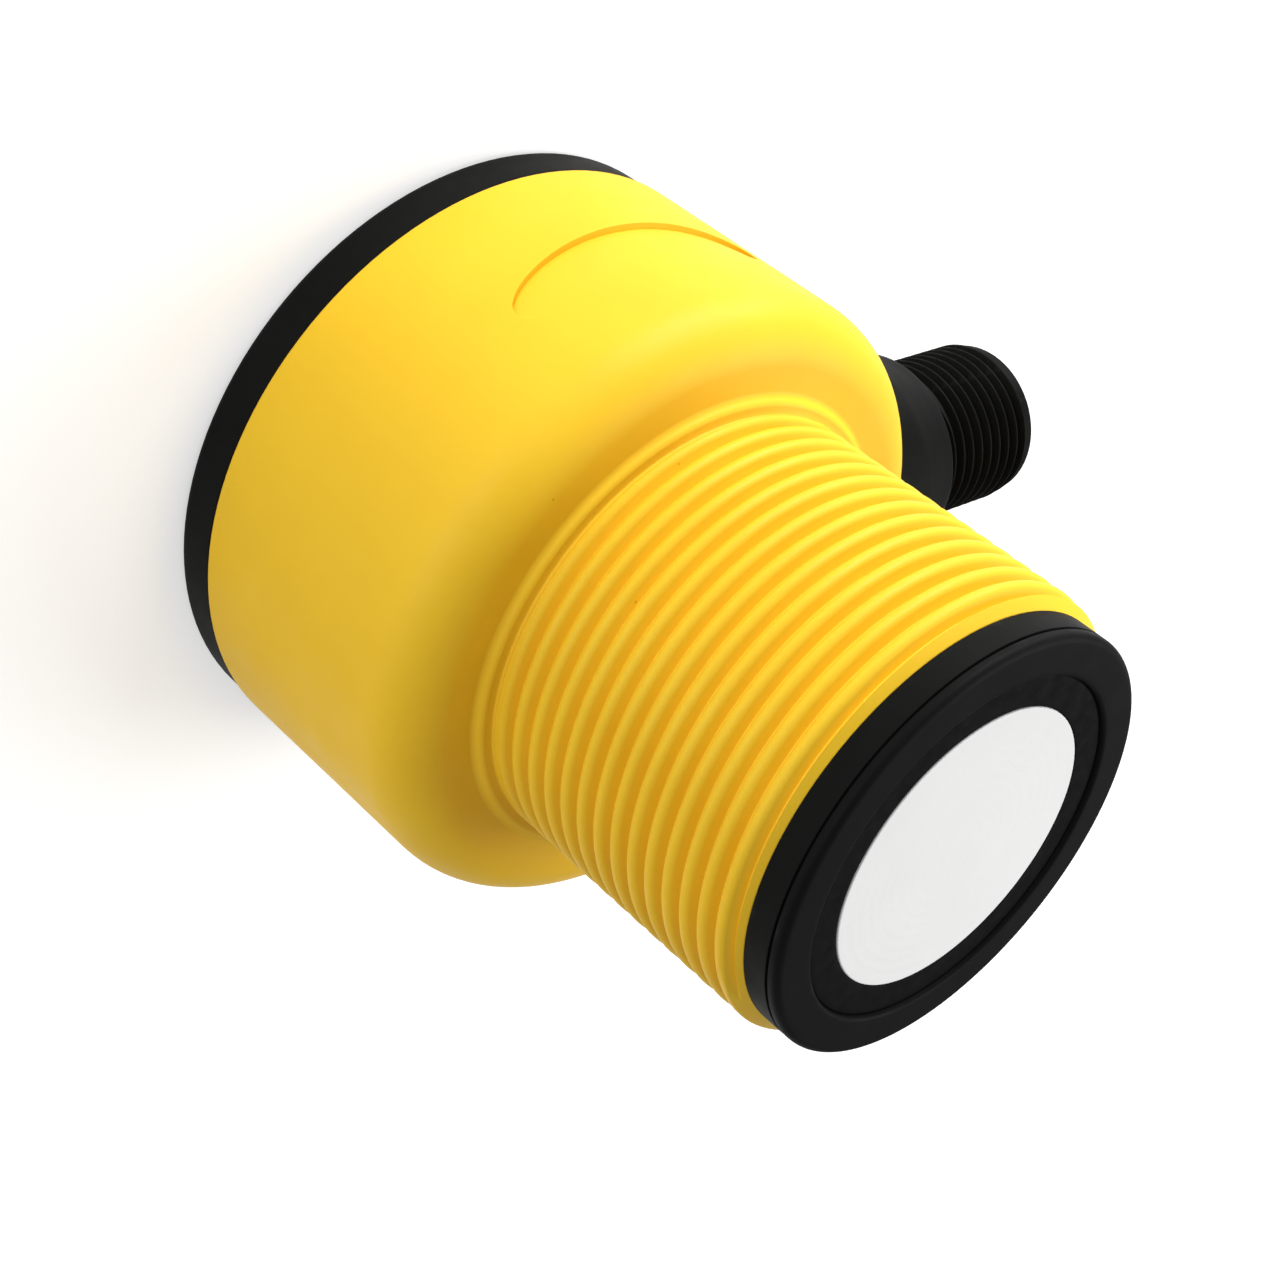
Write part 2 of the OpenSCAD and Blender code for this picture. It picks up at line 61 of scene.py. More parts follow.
# %% Camera
camera_place = Vector((-0.1344, -0.1540, 0.1650))
camera_right = Vector((-0.1858, 0.7338, 0.6534)).normalized()
camera_up = Vector((-0.8051, 0.2675, -0.5294)).normalized()
camera_back = camera_right.cross(camera_up).normalized()
camera_up = camera_back.cross(camera_right).normalized()

bpy.ops.object.select_all(action="DESELECT")
bpy.ops.object.camera_add()
camera = bpy.context.object
camera.name = "photo_camera"
turn = Matrix((camera_right, camera_up, camera_back)).transposed().to_4x4()
camera.matrix_world = Matrix.Translation(camera_place) @ turn
camera.data.sensor_width = 36
camera.data.lens = 70.05
camera.data.clip_start = 0.01
bpy.context.scene.camera = camera
sensor_middle = Vector((0, 0, 37 * MM))
print("camera to sensor:", round((camera_place - sensor_middle).length / MM), "mm")

# %% [markdown]
# ## Floor and light
# A product like this is photographed on white paper under large soft boxes. The floor is
# a plain pale sheet that the sensor stands on. To the camera, and in reflections, it is
# given a little light of its own so that it reads as white, while it still shows the
# shadow. The main soft box stands low on the side of the finger recess, so that the
# light grazes the front faces and draws every ridge of the thread. A weaker low one
# stands on the other side. A third hangs behind the barrel: it lights the white face,
# while the barrel keeps the head's front in shade. The pale world fills the rest.

# %% Floor
FLOOR_SIZE = 6
FLOOR_GAP = 0.1
FLOOR_GLOW = 0.50

bpy.ops.mesh.primitive_plane_add(size=FLOOR_SIZE, location=(0, 0, -FLOOR_GAP * MM))
floor = bpy.context.object
floor.name = "floor"
print("floor:", FLOOR_SIZE, "m square,", FLOOR_GAP, "mm below the sensor")


# %% Paper for the floor
def feed(tree, socket, value):
    """Gives a socket a number or a colour, or links another node's output to it."""
    if isinstance(value, bpy.types.NodeSocket):
        tree.links.new(value, socket)
    elif isinstance(value, (int, float)):
        socket.default_value = value
    else:
        socket.default_value = (*value, 1)


def reckoned(tree, operation, first, second):
    """One number from two, with a math node."""
    made = tree.nodes.new("ShaderNodeMath")
    made.operation = operation
    feed(tree, made.inputs[0], first)
    feed(tree, made.inputs[1], second)
    return made.outputs[0]


paper = bpy.data.materials.new("white_paper")
paper.use_nodes = True
tree = paper.node_tree
tree.nodes.clear()
plain = tree.nodes.new("ShaderNodeBsdfDiffuse")
feed(tree, plain.inputs["Color"], (0.80, 0.80, 0.80))
path = tree.nodes.new("ShaderNodeLightPath").outputs
seen = reckoned(tree, "MAXIMUM", path["Is Camera Ray"], path["Is Glossy Ray"])
seen = reckoned(tree, "MAXIMUM", seen, path["Is Transmission Ray"])
shine = tree.nodes.new("ShaderNodeEmission")
feed(tree, shine.inputs["Color"], (1, 1, 1))
feed(tree, shine.inputs["Strength"], reckoned(tree, "MULTIPLY", seen, FLOOR_GLOW))
both = tree.nodes.new("ShaderNodeAddShader")
feed(tree, both.inputs[0], plain.outputs[0])
feed(tree, both.inputs[1], shine.outputs[0])
out = tree.nodes.new("ShaderNodeOutputMaterial")
feed(tree, out.inputs["Surface"], both.outputs[0])
floor.data.materials.append(paper)
print("paper:", len(tree.nodes), "nodes, glow", FLOOR_GLOW)

# %% World
WORLD_LIGHT = 0.34

world = bpy.data.worlds.new("studio")
bpy.context.scene.world = world
world.use_nodes = True
pale = world.node_tree.nodes["Background"]
feed(world.node_tree, pale.inputs["Color"], (1, 1, 1))
feed(world.node_tree, pale.inputs["Strength"], WORLD_LIGHT)
bpy.context.scene.view_settings.view_transform = "Standard"
print("world light:", WORLD_LIGHT)


# %% Soft boxes
def soft_box(name, place, aim, wide, high, power):
    """A rectangular area light at place that faces aim, in metres and watts."""
    bpy.ops.object.light_add(type="AREA", location=place)
    lamp = bpy.context.object
    lamp.name = name
    lamp.data.shape = "RECTANGLE"
    lamp.data.size = wide
    lamp.data.size_y = high
    lamp.data.energy = power
    facing = Vector(aim) - Vector(place)
    lamp.rotation_euler = facing.to_track_quat("-Z", "Y").to_euler()
    print(name, "at", round(facing.length / MM), "mm,", power, "W")


soft_box("key_box", (-0.54, 0.27, 0.07), (0, 0, 0.03), 0.50, 0.14, 4.4)
soft_box("side_box", (-0.22, -0.57, 0.10), (0, 0, 0.03), 0.40, 0.16, 1.4)
soft_box("top_box", (0.02, 0.38, 0.51), (0, 0, 0.05), 0.40, 0.40, 2.6)

# %% [markdown]
# ## The lathe
# Most pieces of this sensor are round. On a lathe, or in a two-part mould, such a piece
# is one half section turned about an axis. The same is done here: a point is extruded
# along the half section, and the line is spun round the Z axis. The alternative, a
# cylinder with many insets and extrusions, gives the same shape with more steps.

# %% Small helpers for working in edit mode
SIDES = 128


def pick_nothing():
    """Leaves nothing selected, in object mode."""
    if bpy.context.mode != "OBJECT":
        bpy.ops.object.mode_set(mode="OBJECT")
    bpy.ops.object.select_all(action="DESELECT")


def pick(piece):
    """Makes piece the only selected object."""
    pick_nothing()
    piece.select_set(True)
    bpy.context.view_layer.objects.active = piece
    return piece


def start_editing(piece):
    """Opens one piece in edit mode with all of its points selected."""
    pick(piece)
    bpy.ops.object.mode_set(mode="EDIT")
    bpy.ops.mesh.select_mode(type="VERT")
    bpy.ops.mesh.select_all(action="SELECT")


def stop_editing():
    """Back to object mode."""
    bpy.ops.object.mode_set(mode="OBJECT")


def place_in_mesh(piece):
    """Writes the object's place, turn and size into its mesh."""
    pick(piece)
    bpy.ops.object.transform_apply(location=True, rotation=True, scale=True)


# %% Half sections
SUPPORT_GAP = 0.4


def arc(r, z, radius, from_deg, to_deg, steps=6):
    """Points of an arc in the half section, about (r, z), in millimetres."""
    made = []
    for i in range(steps + 1):
        a = math.radians(from_deg + (to_deg - from_deg) * i / steps)
        made.append((r + radius * math.cos(a), z + radius * math.sin(a)))
    return made


def drawn_line(name, points):
    """A line through points (radius, height) in mm, extruded point by point."""
    pick_nothing()
    r, z = points[0]
    bpy.ops.mesh.primitive_plane_add(size=MM, location=(r * MM, 0, z * MM))
    piece = bpy.context.object
    piece.name = name
    place_in_mesh(piece)
    start_editing(piece)
    bpy.ops.mesh.merge(type="CENTER")
    for (r0, z0), (r1, z1) in zip(points, points[1:]):
        step = ((r1 - r0) * MM, 0, (z1 - z0) * MM)
        bpy.ops.mesh.extrude_region_move(TRANSFORM_OT_translate={"value": step})
    stop_editing()
    return piece


def with_support(line):
    """Adds a point near both ends of every long stretch, so that the lighter edges, partly wear
    and partly a painted highlight, stay narrow.
    """
    made = [line[0]]
    for (r0, z0), (r1, z1) in zip(line, line[1:]):
        far = math.hypot(r1 - r0, z1 - z0)
        if far > 3 * SUPPORT_GAP:
            for t in (SUPPORT_GAP / far, 1 - SUPPORT_GAP / far):
                made.append((r0 + (r1 - r0) * t, z0 + (z1 - z0) * t))
        made.append((r1, z1))
    return made


# %% The spin
MERGE_GAP = 1e-6


def heal(piece, gap=MERGE_GAP):
    """Merges doubled points and turns every face outwards."""
    start_editing(piece)
    bpy.ops.mesh.remove_doubles(threshold=gap)
    bpy.ops.mesh.normals_make_consistent(inside=False)
    stop_editing()
    return piece


def open_edges(piece):
    """How many edges don't have exactly two faces: none on a closed piece."""
    bm = bmesh.new()
    bm.from_mesh(piece.data)
    count = sum(1 for e in bm.edges if len(e.link_faces) != 2)
    bm.free()
    return count


def count_up(piece):
    """Prints how many faces a piece has, and whether it is closed."""
    print(piece.name, len(piece.data.polygons), "faces,", open_edges(piece), "open edges")


def turned(name, points, sides=SIDES, closed=False, support=False):
    """A turned solid from its half section. A closed one comes back to its first point."""
    line = points + [points[0]] if closed else points
    if support:
        line = with_support(line)
    piece = drawn_line(name, line)
    start_editing(piece)
    bpy.ops.mesh.spin(steps=sides, angle=math.tau, center=(0, 0, 0), axis=(0, 0, 1))
    stop_editing()
    heal(piece)
    count_up(piece)
    return piece


# %% Cutting and joining
def boolean(piece, tool, operation):
    """Cuts piece with tool, or joins the two, and removes the tool."""
    pick(piece)
    step = piece.modifiers.new("cut", "BOOLEAN")
    step.operation = operation
    step.object = tool
    step.solver = "EXACT"
    bpy.ops.object.modifier_apply(modifier=step.name)
    bpy.data.objects.remove(tool)


def bar(name, low, high):
    """A box between two corners, in mm."""
    pick_nothing()
    middle = [(a + b) / 2 * MM for a, b in zip(low, high)]
    bpy.ops.mesh.primitive_cube_add(size=1, location=middle)
    piece = bpy.context.object
    piece.name = name
    piece.scale = [(b - a) * MM for a, b in zip(low, high)]
    place_in_mesh(piece)
    return piece


# %% [markdown]
# ## Screw threads
# A thread is cut with a tool of the groove's shape that moves along the axis while the
# piece turns. Here that tool is a closed outline which the Screw modifier sweeps along a
# helix, and a boolean takes it out of the turned piece. Displacing a cylinder would be
# quicker, but it can't give the rounded crest and root of a moulded thread. The tool
# lifts out of the piece at both ends, so that the groove runs out instead of stopping.

# %% Groove outline
CREST_START = 10
ARC_STEPS = 6
TOOL_OVERLAP = 0.5


def groove_outline(crest_r, pitch, flank_deg, crest_round, root_round):
    """The groove's section about height 0: rounded root, straight flanks, rounded crests."""
    flank = math.radians(flank_deg)
    full_v = pitch / 2 / math.tan(flank)
    depth = full_v - (crest_round + root_round) * (1 / math.sin(flank) - 1)
    print("groove", round(depth, 2), "mm deep, pitch", round(pitch, 3), "mm")
    root_r = crest_r - depth
    lean = 90 - flank_deg
    half = pitch / 2
    top, bottom = [], []
    for i in range(ARC_STEPS + 1):
        a = math.radians(CREST_START + (lean - CREST_START) * i / ARC_STEPS)
        r = crest_r - crest_round * (1 - math.cos(a))
        z = half - crest_round * math.sin(a)
        top.append((r, z))
        bottom.insert(0, (r, -z))
    root = []
    for i in range(2 * ARC_STEPS + 1):
        a = math.radians(lean - lean * i / ARC_STEPS)
        root.append((root_r + root_round * (1 - math.cos(a)), root_round * math.sin(a)))
    outside = crest_r + TOOL_OVERLAP
    return [(outside, top[0][1])] + top + root + bottom + [(outside, bottom[-1][1])]


# %% Thread tool
LIFT_ROWS = 12
LIFT_CURVE = 1.5
TOOL_MERGE = 1e-7


def thread_tool(name, outline, pitch, start_z, steps, first_step, lift_r):
    """The groove outline swept along a right-hand helix, lifted out at both ends.

    It is swept in the same steps as the turned piece has sides, so that their faces meet.
    """
    turns = steps / SIDES
    shifted = [(r, z + start_z) for r, z in outline]
    tool = drawn_line(name, shifted + [shifted[0]])
    start_editing(tool)
    bpy.ops.mesh.remove_doubles(threshold=TOOL_MERGE)
    stop_editing()
    tool.rotation_euler[2] = math.tau * first_step / SIDES
    place_in_mesh(tool)
    sweep = tool.modifiers.new("sweep", "SCREW")
    sweep.axis = "Z"
    sweep.angle = math.tau * turns
    sweep.screw_offset = pitch * turns * MM
    sweep.steps = steps
    sweep.render_steps = steps
    sweep.use_merge_vertices = False
    bpy.ops.object.modifier_apply(modifier=sweep.name)
    ring = len(outline)
    last = len(tool.data.vertices) // ring - 1
    start_editing(tool)
    for i in range(LIFT_ROWS):
        out_by = lift_r * (1 - i / LIFT_ROWS) ** LIFT_CURVE
        for row in (i, last - i):
            lift_row(tool, row * ring, ring, out_by)
    bpy.ops.mesh.select_all(action="SELECT")
    bpy.ops.mesh.fill_holes(sides=0)
    bpy.ops.mesh.select_all(action="SELECT")
    bpy.ops.mesh.normals_make_consistent(inside=False)
    stop_editing()
    count_up(tool)
    return tool


def lift_row(tool, first, count, out_by):
    """Scales one row of the tool away from the axis by out_by mm."""
    bpy.ops.mesh.select_all(action="DESELECT")
    bm = bmesh.from_edit_mesh(tool.data)
    bm.verts.ensure_lookup_table()
    row = [bm.verts[first + k] for k in range(count)]
    for v in row:
        v.select = True
    bm.select_flush_mode()
    bmesh.update_edit_mesh(tool.data)
    nearest = min(math.hypot(v.co.x, v.co.y) for v in row)
    factor = (nearest + out_by * MM) / nearest
    bpy.ops.transform.resize(value=(factor, factor, 1), center_override=(0, 0, 0))


# %% [markdown]
# ## Housing
# Head and barrel are one injection-moulded piece. The half section holds everything that
# is round: the rounded shoulder, the low soft-edged ring at the barrel's root, the shallow
# groove between it and the thread, the barrel with its bevelled front end, and the hollow
# inside.

# %% Housing: sizes and turned body
HEAD_R = 33.7
HEAD_TOP = 36
HEAD_EDGE_R = 0.4
HEAD_ROWS = [7.5 + 2.5 * i for i in range(9)]
SHOULDER_R = 5.5
COVER_H = 5.1
RING_R = 25.2
RING_TOP = 36.8
RING_FOOT_R = 0.75
RING_FOOT_OUT = 0.56
RING_EDGE_R = 0.636
RING_EDGE_IN = 0.7
THREAD_R = 23.9
RELIEF_W = 0.6
RELIEF_DEPTH = 0.25
RELIEF_LIP = 0.12
RELIEF_SLOPE = 0.1
PIPE_PITCH = 25.4 / 11
BARREL_END = 69.9
BARREL_BEVEL = 1.3
BEVEL_ROUND = 0.35
END_ROUND = 0.2
BEVEL_SET = 0.15
BORE_R = 20.4
ROOF_Z = 31.4
CAVITY_R = 30.2

relief_r = THREAD_R - RELIEF_DEPTH
housing_outline = (
    [(HEAD_R - HEAD_EDGE_R, COVER_H)]
    + arc(HEAD_R - HEAD_EDGE_R, COVER_H + HEAD_EDGE_R, HEAD_EDGE_R, -60, 0, 3)
    + [(HEAD_R, row_z) for row_z in HEAD_ROWS]
    + arc(HEAD_R - SHOULDER_R, HEAD_TOP - SHOULDER_R, SHOULDER_R, 0, 90, 18)
    + arc(RING_R + RING_FOOT_OUT, HEAD_TOP + RING_FOOT_R, RING_FOOT_R, 270, 205, 7)
    + arc(RING_R - RING_EDGE_IN, RING_TOP - RING_EDGE_R, RING_EDGE_R, 25, 90, 7)
    + [(THREAD_R + RELIEF_LIP, RING_TOP), (THREAD_R - RELIEF_LIP, RING_TOP + RELIEF_SLOPE)]
    + [(relief_r, RING_TOP + RELIEF_W / 2)]
    + [(THREAD_R - RELIEF_LIP, RING_TOP + RELIEF_W - RELIEF_SLOPE)]
    + [(THREAD_R, RING_TOP + RELIEF_W)]
    + arc(THREAD_R - BEVEL_ROUND, BARREL_END - BARREL_BEVEL - BEVEL_SET, BEVEL_ROUND, 0, 40, 3)
    + arc(THREAD_R - BARREL_BEVEL - BEVEL_SET, BARREL_END - END_ROUND, END_ROUND, 45, 90, 3)
    + [(BORE_R, BARREL_END), (BORE_R, ROOF_Z), (CAVITY_R, ROOF_Z), (CAVITY_R, COVER_H)]
)
housing = turned("housing_moulding", housing_outline, closed=True)

# %% [markdown]
# The barrel's thread is a 1 1/2 inch pipe thread: 11 turns to the inch and flanks at 55
# degrees to each other. It is moulded, with softly rounded crests and a narrow root. Its
# groove starts in the relief at the root ring and runs out just below the bevel. Where the
# tool only grazes a crest, the cut leaves slivers, so points closer than 0.015 mm are
# merged after it.

# %% Housing: thread
PIPE_HALF_ANGLE = 27.5
PIPE_CREST_ROUND = 0.75
PIPE_ROOT_ROUND = 0.13
PIPE_START_Z = 38.1
PIPE_STEPS = 1736
PIPE_FIRST_STEP = 43
PIPE_LIFT = 2.0
PIPE_MERGE = 1.5e-5

pipe_groove = groove_outline(
    THREAD_R, PIPE_PITCH, PIPE_HALF_ANGLE, PIPE_CREST_ROUND, PIPE_ROOT_ROUND
)
pipe_tool = thread_tool(
    "pipe_thread_tool",
    pipe_groove,
    PIPE_PITCH,
    PIPE_START_Z,
    PIPE_STEPS,
    PIPE_FIRST_STEP,
    PIPE_LIFT,
)
boolean(housing, pipe_tool, "DIFFERENCE")
heal(housing, PIPE_MERGE)
count_up(housing)

# %% [markdown]
# On two sides the head has a shallow recess for finger and thumb. It has one crisp curved
# edge at its rear and runs out to nothing towards the front and at both ends. Its tool is
# a bent sheet: a grid whose rows follow the curved edge, lowered into the head at that
# edge and lifted out of it at the front, and then thickened outwards. At the foot of the
# edge it dips a little deeper, which draws the fine dark line of the photograph. Its rows
# crowd together there, and three curves say how the sheet runs out to its front and ends.

# %% Housing: finger recesses
RECESS_Z = 16.7
RECESS_HALF = 15
RECESS_RISE = 4.9
RECESS_DEPTH = 0.55
RECESS_WALL = 0.04
RECESS_FRONT = 5.4
RECESS_END = 0.3
RECESS_GRID = (48, 24)
ROW_CROWDING = 1.7
FRONT_CURVE = 0.7
DEPTH_CURVE = 1.4
END_CURVE = 0.15
CREASE_DEPTH = 0.2
CREASE_WIDTH = 0.02
SHEET_LIFT = 0.03
SHEET_GROWTH = 1.04


def recess_tool(side):
    """The material that one recess takes out of the head, on the side -X or +X."""
    pick_nothing()
    columns, rows = RECESS_GRID
    bpy.ops.mesh.primitive_grid_add(x_subdivisions=columns, y_subdivisions=rows, size=2)
    sheet = bpy.context.object
    sheet.name = "recess_sheet"
    end_z = RECESS_Z + RECESS_RISE
    for v in sheet.data.vertices:
        across, along = math.pi * (v.co.x + 1) / 2, ((v.co.y + 1) / 2) ** ROW_CROWDING
        bow = max(0, math.sin(across))
        rear_z = end_z - RECESS_RISE * bow
        front_z = end_z + RECESS_END + RECESS_FRONT * bow**FRONT_CURVE
        crease = CREASE_DEPTH * math.exp(-along / CREASE_WIDTH)
        depth = RECESS_DEPTH * (1 - along) ** DEPTH_CURVE + crease
        depth = depth * bow**END_CURVE - SHEET_LIFT
        if along == 0:
            depth = -SHEET_LIFT
        y = -RECESS_HALF * math.cos(across)
        x = side * math.sqrt((HEAD_R - depth) ** 2 - y * y)
        wall = RECESS_WALL if along else 0
        v.co = (x * MM, y * MM, (rear_z + wall + (front_z - rear_z - wall) * along) * MM)
    start_editing(sheet)
    bpy.ops.mesh.extrude_region()
    grown = (SHEET_GROWTH, SHEET_GROWTH, 1)
    bpy.ops.transform.resize(value=grown, center_override=(0, 0, 0))
    stop_editing()
    return heal(sheet)


for side in (-1, 1):
    boolean(housing, recess_tool(side), "DIFFERENCE")
count_up(housing)

# %% [markdown]
# The connector stands in a flat round seat. Behind it the wall is thickened by a pad that
# the connector's nut clamps on, and two pairs of ribs in the barrel hold the main board.

# %% Housing: pad and ribs
SEAT_Y = 31.03
PAD_Y = SEAT_Y - 5
PAD_HALF = 11.02
PAD_OUT_Y = 30.9
PAD_Z = (10.2, 32.4)
BOARD_LOW_Y = -1.65
BOARD_HIGH_Y = 0.05
RIB_T = 2
RIB_X = (16.2, 21.2)
RIB_TOP = 59
SLOT_X = (15, 20.6)
SLOT_TOP = 58

pad = bar("clamp_pad", (-PAD_HALF, PAD_Y, PAD_Z[0]), (PAD_HALF, PAD_OUT_Y, PAD_Z[1]))
boolean(housing, pad, "UNION")
rib_low = (RIB_X[0], BOARD_LOW_Y - RIB_T, ROOF_Z - 0.001)
rib_high = (RIB_X[1], BOARD_HIGH_Y + RIB_T, RIB_TOP)
slot_low = (SLOT_X[0], BOARD_LOW_Y, ROOF_Z - 2)
slot_high = (SLOT_X[1], BOARD_HIGH_Y, SLOT_TOP)
for side in (-1, 1):
    ribs = bar("board_ribs", rib_low, rib_high)
    slot = bar("board_slot", slot_low, slot_high)
    if side < 0:
        for half in (ribs, slot):
            half.rotation_euler[2] = math.pi
            place_in_mesh(half)
            half.location[1] = (BOARD_LOW_Y + BOARD_HIGH_Y) * MM
            place_in_mesh(half)
    boolean(ribs, slot, "DIFFERENCE")
    boolean(housing, ribs, "UNION")
count_up(housing)

# %% Housing: connector seat
PLUG_Z = 21
SEAT_R = 12.9
TAIL_R = 7
TAIL_PLAY = 0.05
SEAT_MERGE = 5e-6


def on_plug_axis(piece):
    """Lays a piece that was made upright along the connector's axis, which points along +Y."""
    pick(piece)
    lay_down = Matrix.Rotation(math.radians(-90), 4, "X")
    piece.matrix_world = Matrix.Translation((0, 0, PLUG_Z * MM)) @ lay_down
    place_in_mesh(piece)
    return piece


def plug_cutter(name, radius, low, high, sides=64):
    """A round cutter on the connector's axis, from low to high along it, in mm."""
    cutter = turned(name, [(0, low), (radius, low), (radius, high), (0, high)], sides)
    return on_plug_axis(cutter)


tail_hole = plug_cutter("tail_hole", TAIL_R + TAIL_PLAY, PAD_Y - 1, SEAT_Y + 1)
boolean(housing, tail_hole, "DIFFERENCE")
seat_cut = plug_cutter("seat_cut", SEAT_R, SEAT_Y, HEAD_R + 2, SIDES)
boolean(housing, seat_cut, "DIFFERENCE")
heal(housing, SEAT_MERGE)
count_up(housing)


# %% Hand a piece over
def finish_piece(piece, body, slot, *stands_for, smooth_deg=32):
    """Shades a piece, gives it its body and hides the nodes it stands for. The slot is not used.
    """
    pick(piece)
    bpy.ops.object.shade_smooth_by_angle(angle=math.radians(smooth_deg))
    even = piece.modifiers.new("even_shading", "WEIGHTED_NORMAL")
    even.keep_sharp = True
    bpy.ops.object.modifier_apply(modifier=even.name)
    pick_nothing()
    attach(piece, body)
    if stands_for:
        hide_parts(*stands_for)
        low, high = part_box(stands_for[0])
        own = [piece.matrix_world @ v.co for v in piece.data.vertices]
        off = max(
            max(abs(min(p[k] for p in own) - low[k]), abs(max(p[k] for p in own) - high[k]))
            for k in range(3)
        )
        print(piece.name, "stands for", stands_for, "box differs by", round(off / MM, 2), "mm")


finish_piece(housing, "sensor_body", "yellow_plastic", "housing")

# %% [markdown]
# ## Rear cover
# The cover is a black moulded cap with a rounded rear edge. Its spigot enters the head
# and carries the sealing ring. Two round holes take the push buttons and three small
# ones the indicator windows; each has a softly rounded mouth, as a moulded hole has.

# %% Rear cover
PLATE_T = 2.5
RIM_R = 33.4
RIM_EDGE_R = 0.4
REAR_ROUND = 1
SPIGOT_R = 30.1
SPIGOT_IN_R = 27.1
SPIGOT_TOP = 10.1
SPIGOT_EDGE_R = 0.3
FLOOR_ROUND = 0.5
SEAL_GROOVE = (6.45, 8.75)
SEAL_GROOVE_R = 28.7
POST_CIRCLE_R = 22.1
BUTTON_X = 11
BUTTON_Y = -6
BUTTON_HOLE_R = 4.62
WINDOW_R = 1.5
WINDOW_PITCH = 8
WINDOW_Y = 12

cover = turned(
    "cover_moulding",
    [(0, 0)]
    + arc(RIM_R - REAR_ROUND, REAR_ROUND, REAR_ROUND, -90, 0, 8)
    + arc(RIM_R - RIM_EDGE_R, COVER_H - RIM_EDGE_R, RIM_EDGE_R, 0, 90, 4)
    + [(SPIGOT_R, COVER_H), (SPIGOT_R, SEAL_GROOVE[0]), (SEAL_GROOVE_R, SEAL_GROOVE[0])]
    + [(SEAL_GROOVE_R, SEAL_GROOVE[1]), (SPIGOT_R, SEAL_GROOVE[1])]
    + arc(SPIGOT_R - SPIGOT_EDGE_R, SPIGOT_TOP - SPIGOT_EDGE_R, SPIGOT_EDGE_R, 0, 90, 3)
    + arc(SPIGOT_IN_R + SPIGOT_EDGE_R, SPIGOT_TOP - SPIGOT_EDGE_R, SPIGOT_EDGE_R, 90, 180, 3)
    + arc(SPIGOT_IN_R - FLOOR_ROUND, PLATE_T + FLOOR_ROUND, FLOOR_ROUND, 0, -90, 4)
    + [(0, PLATE_T)],
    support=True,
)

# %% [markdown]
# Three posts inside the cover carry the round board. The tools of the screw holes and the
# window holes are turned a few degrees before they cut, because a boolean is unsure where
# two edges lie exactly on each other.

# %% Rear cover: posts
POST_R = 2.6
POST_Z = (2.1, 8)
POST_EDGE = 0.2
SCREW_HOLE_R = 1.1
SCREW_HOLE_Z = (4.6, 9)


def moved(piece, x, y, turn_deg=0):
    """Turns a piece about Z, moves it by x and y in mm, and writes that into its mesh."""
    piece.rotation_euler[2] = math.radians(turn_deg)
    piece.location = (x * MM, y * MM, 0)
    place_in_mesh(piece)
    return piece


post_line = [(0, POST_Z[0]), (POST_R, POST_Z[0]), (POST_R, POST_Z[1] - POST_EDGE)]
post_line += [(POST_R - POST_EDGE, POST_Z[1]), (0, POST_Z[1])]
screw_line = [(0, SCREW_HOLE_Z[0]), (SCREW_HOLE_R, SCREW_HOLE_Z[0])]
screw_line += [(SCREW_HOLE_R, SCREW_HOLE_Z[1]), (0, SCREW_HOLE_Z[1])]
for k in range(3):
    a = math.radians(30 + 120 * k)
    place = (POST_CIRCLE_R * math.cos(a), POST_CIRCLE_R * math.sin(a))
    boolean(cover, moved(turned("board_post", post_line, 32), *place), "UNION")
    hole = turned("screw_hole", screw_line, 32)
    boolean(cover, moved(hole, *place, turn_deg=5), "DIFFERENCE")

# %% Rear cover: holes
HOLE_START = -1
HOLE_TOP = 3.2
BUTTON_MOUTH_R = 0.25
BUTTON_SEAT_R = 5.52
BUTTON_SEAT_Z = (0.9, 1.8)
WINDOW_MOUTH_R = 0.15


def mouth(radius, mouth_r, steps):
    """How a hole's half section starts: under the cover, then over a rounded mouth."""
    rounded = arc(radius + mouth_r, mouth_r, mouth_r, 270, 180, steps)
    return [(0, HOLE_START), (radius + mouth_r, HOLE_START)] + rounded


button_line = mouth(BUTTON_HOLE_R, BUTTON_MOUTH_R, 4)
button_line += [(BUTTON_HOLE_R, BUTTON_SEAT_Z[0]), (BUTTON_SEAT_R, BUTTON_SEAT_Z[0])]
button_line += [(BUTTON_SEAT_R, BUTTON_SEAT_Z[1]), (BUTTON_HOLE_R, BUTTON_SEAT_Z[1])]
button_line += [(BUTTON_HOLE_R, HOLE_TOP), (0, HOLE_TOP)]
for side in (-1, 1):
    hole = moved(turned("button_hole", button_line, 64), side * BUTTON_X, BUTTON_Y)
    boolean(cover, hole, "DIFFERENCE")
window_line = mouth(WINDOW_R, WINDOW_MOUTH_R, 3) + [(WINDOW_R, HOLE_TOP), (0, HOLE_TOP)]
for i in (-1, 0, 1):
    hole = moved(turned("window_hole", window_line, 48), i * WINDOW_PITCH, WINDOW_Y, turn_deg=2)
    boolean(cover, hole, "DIFFERENCE")
count_up(cover)
finish_piece(cover, "sensor_body", "black_plastic", "rear_cover")

# %% [markdown]
# ## Buttons and windows
# The two keys are the same piece: a round cap with a shallow dish for the fingertip and a
# flange that keeps it behind the cover. It is turned once and copied. The windows are
# clear light guides with a softly rounded end.

# %% Buttons
DISH_R = 3.31
DISH_BALL_R = 22
DISH_TOP = 0.75
KEY_R = 4.5
KEY_FACE = 0.5
KEY_EDGE_R = 0.25
KEY_BACK = 3.5
FLANGE_R = 5.6
FLANGE_FACE = 2.5
FLANGE_EDGE_R = 0.2

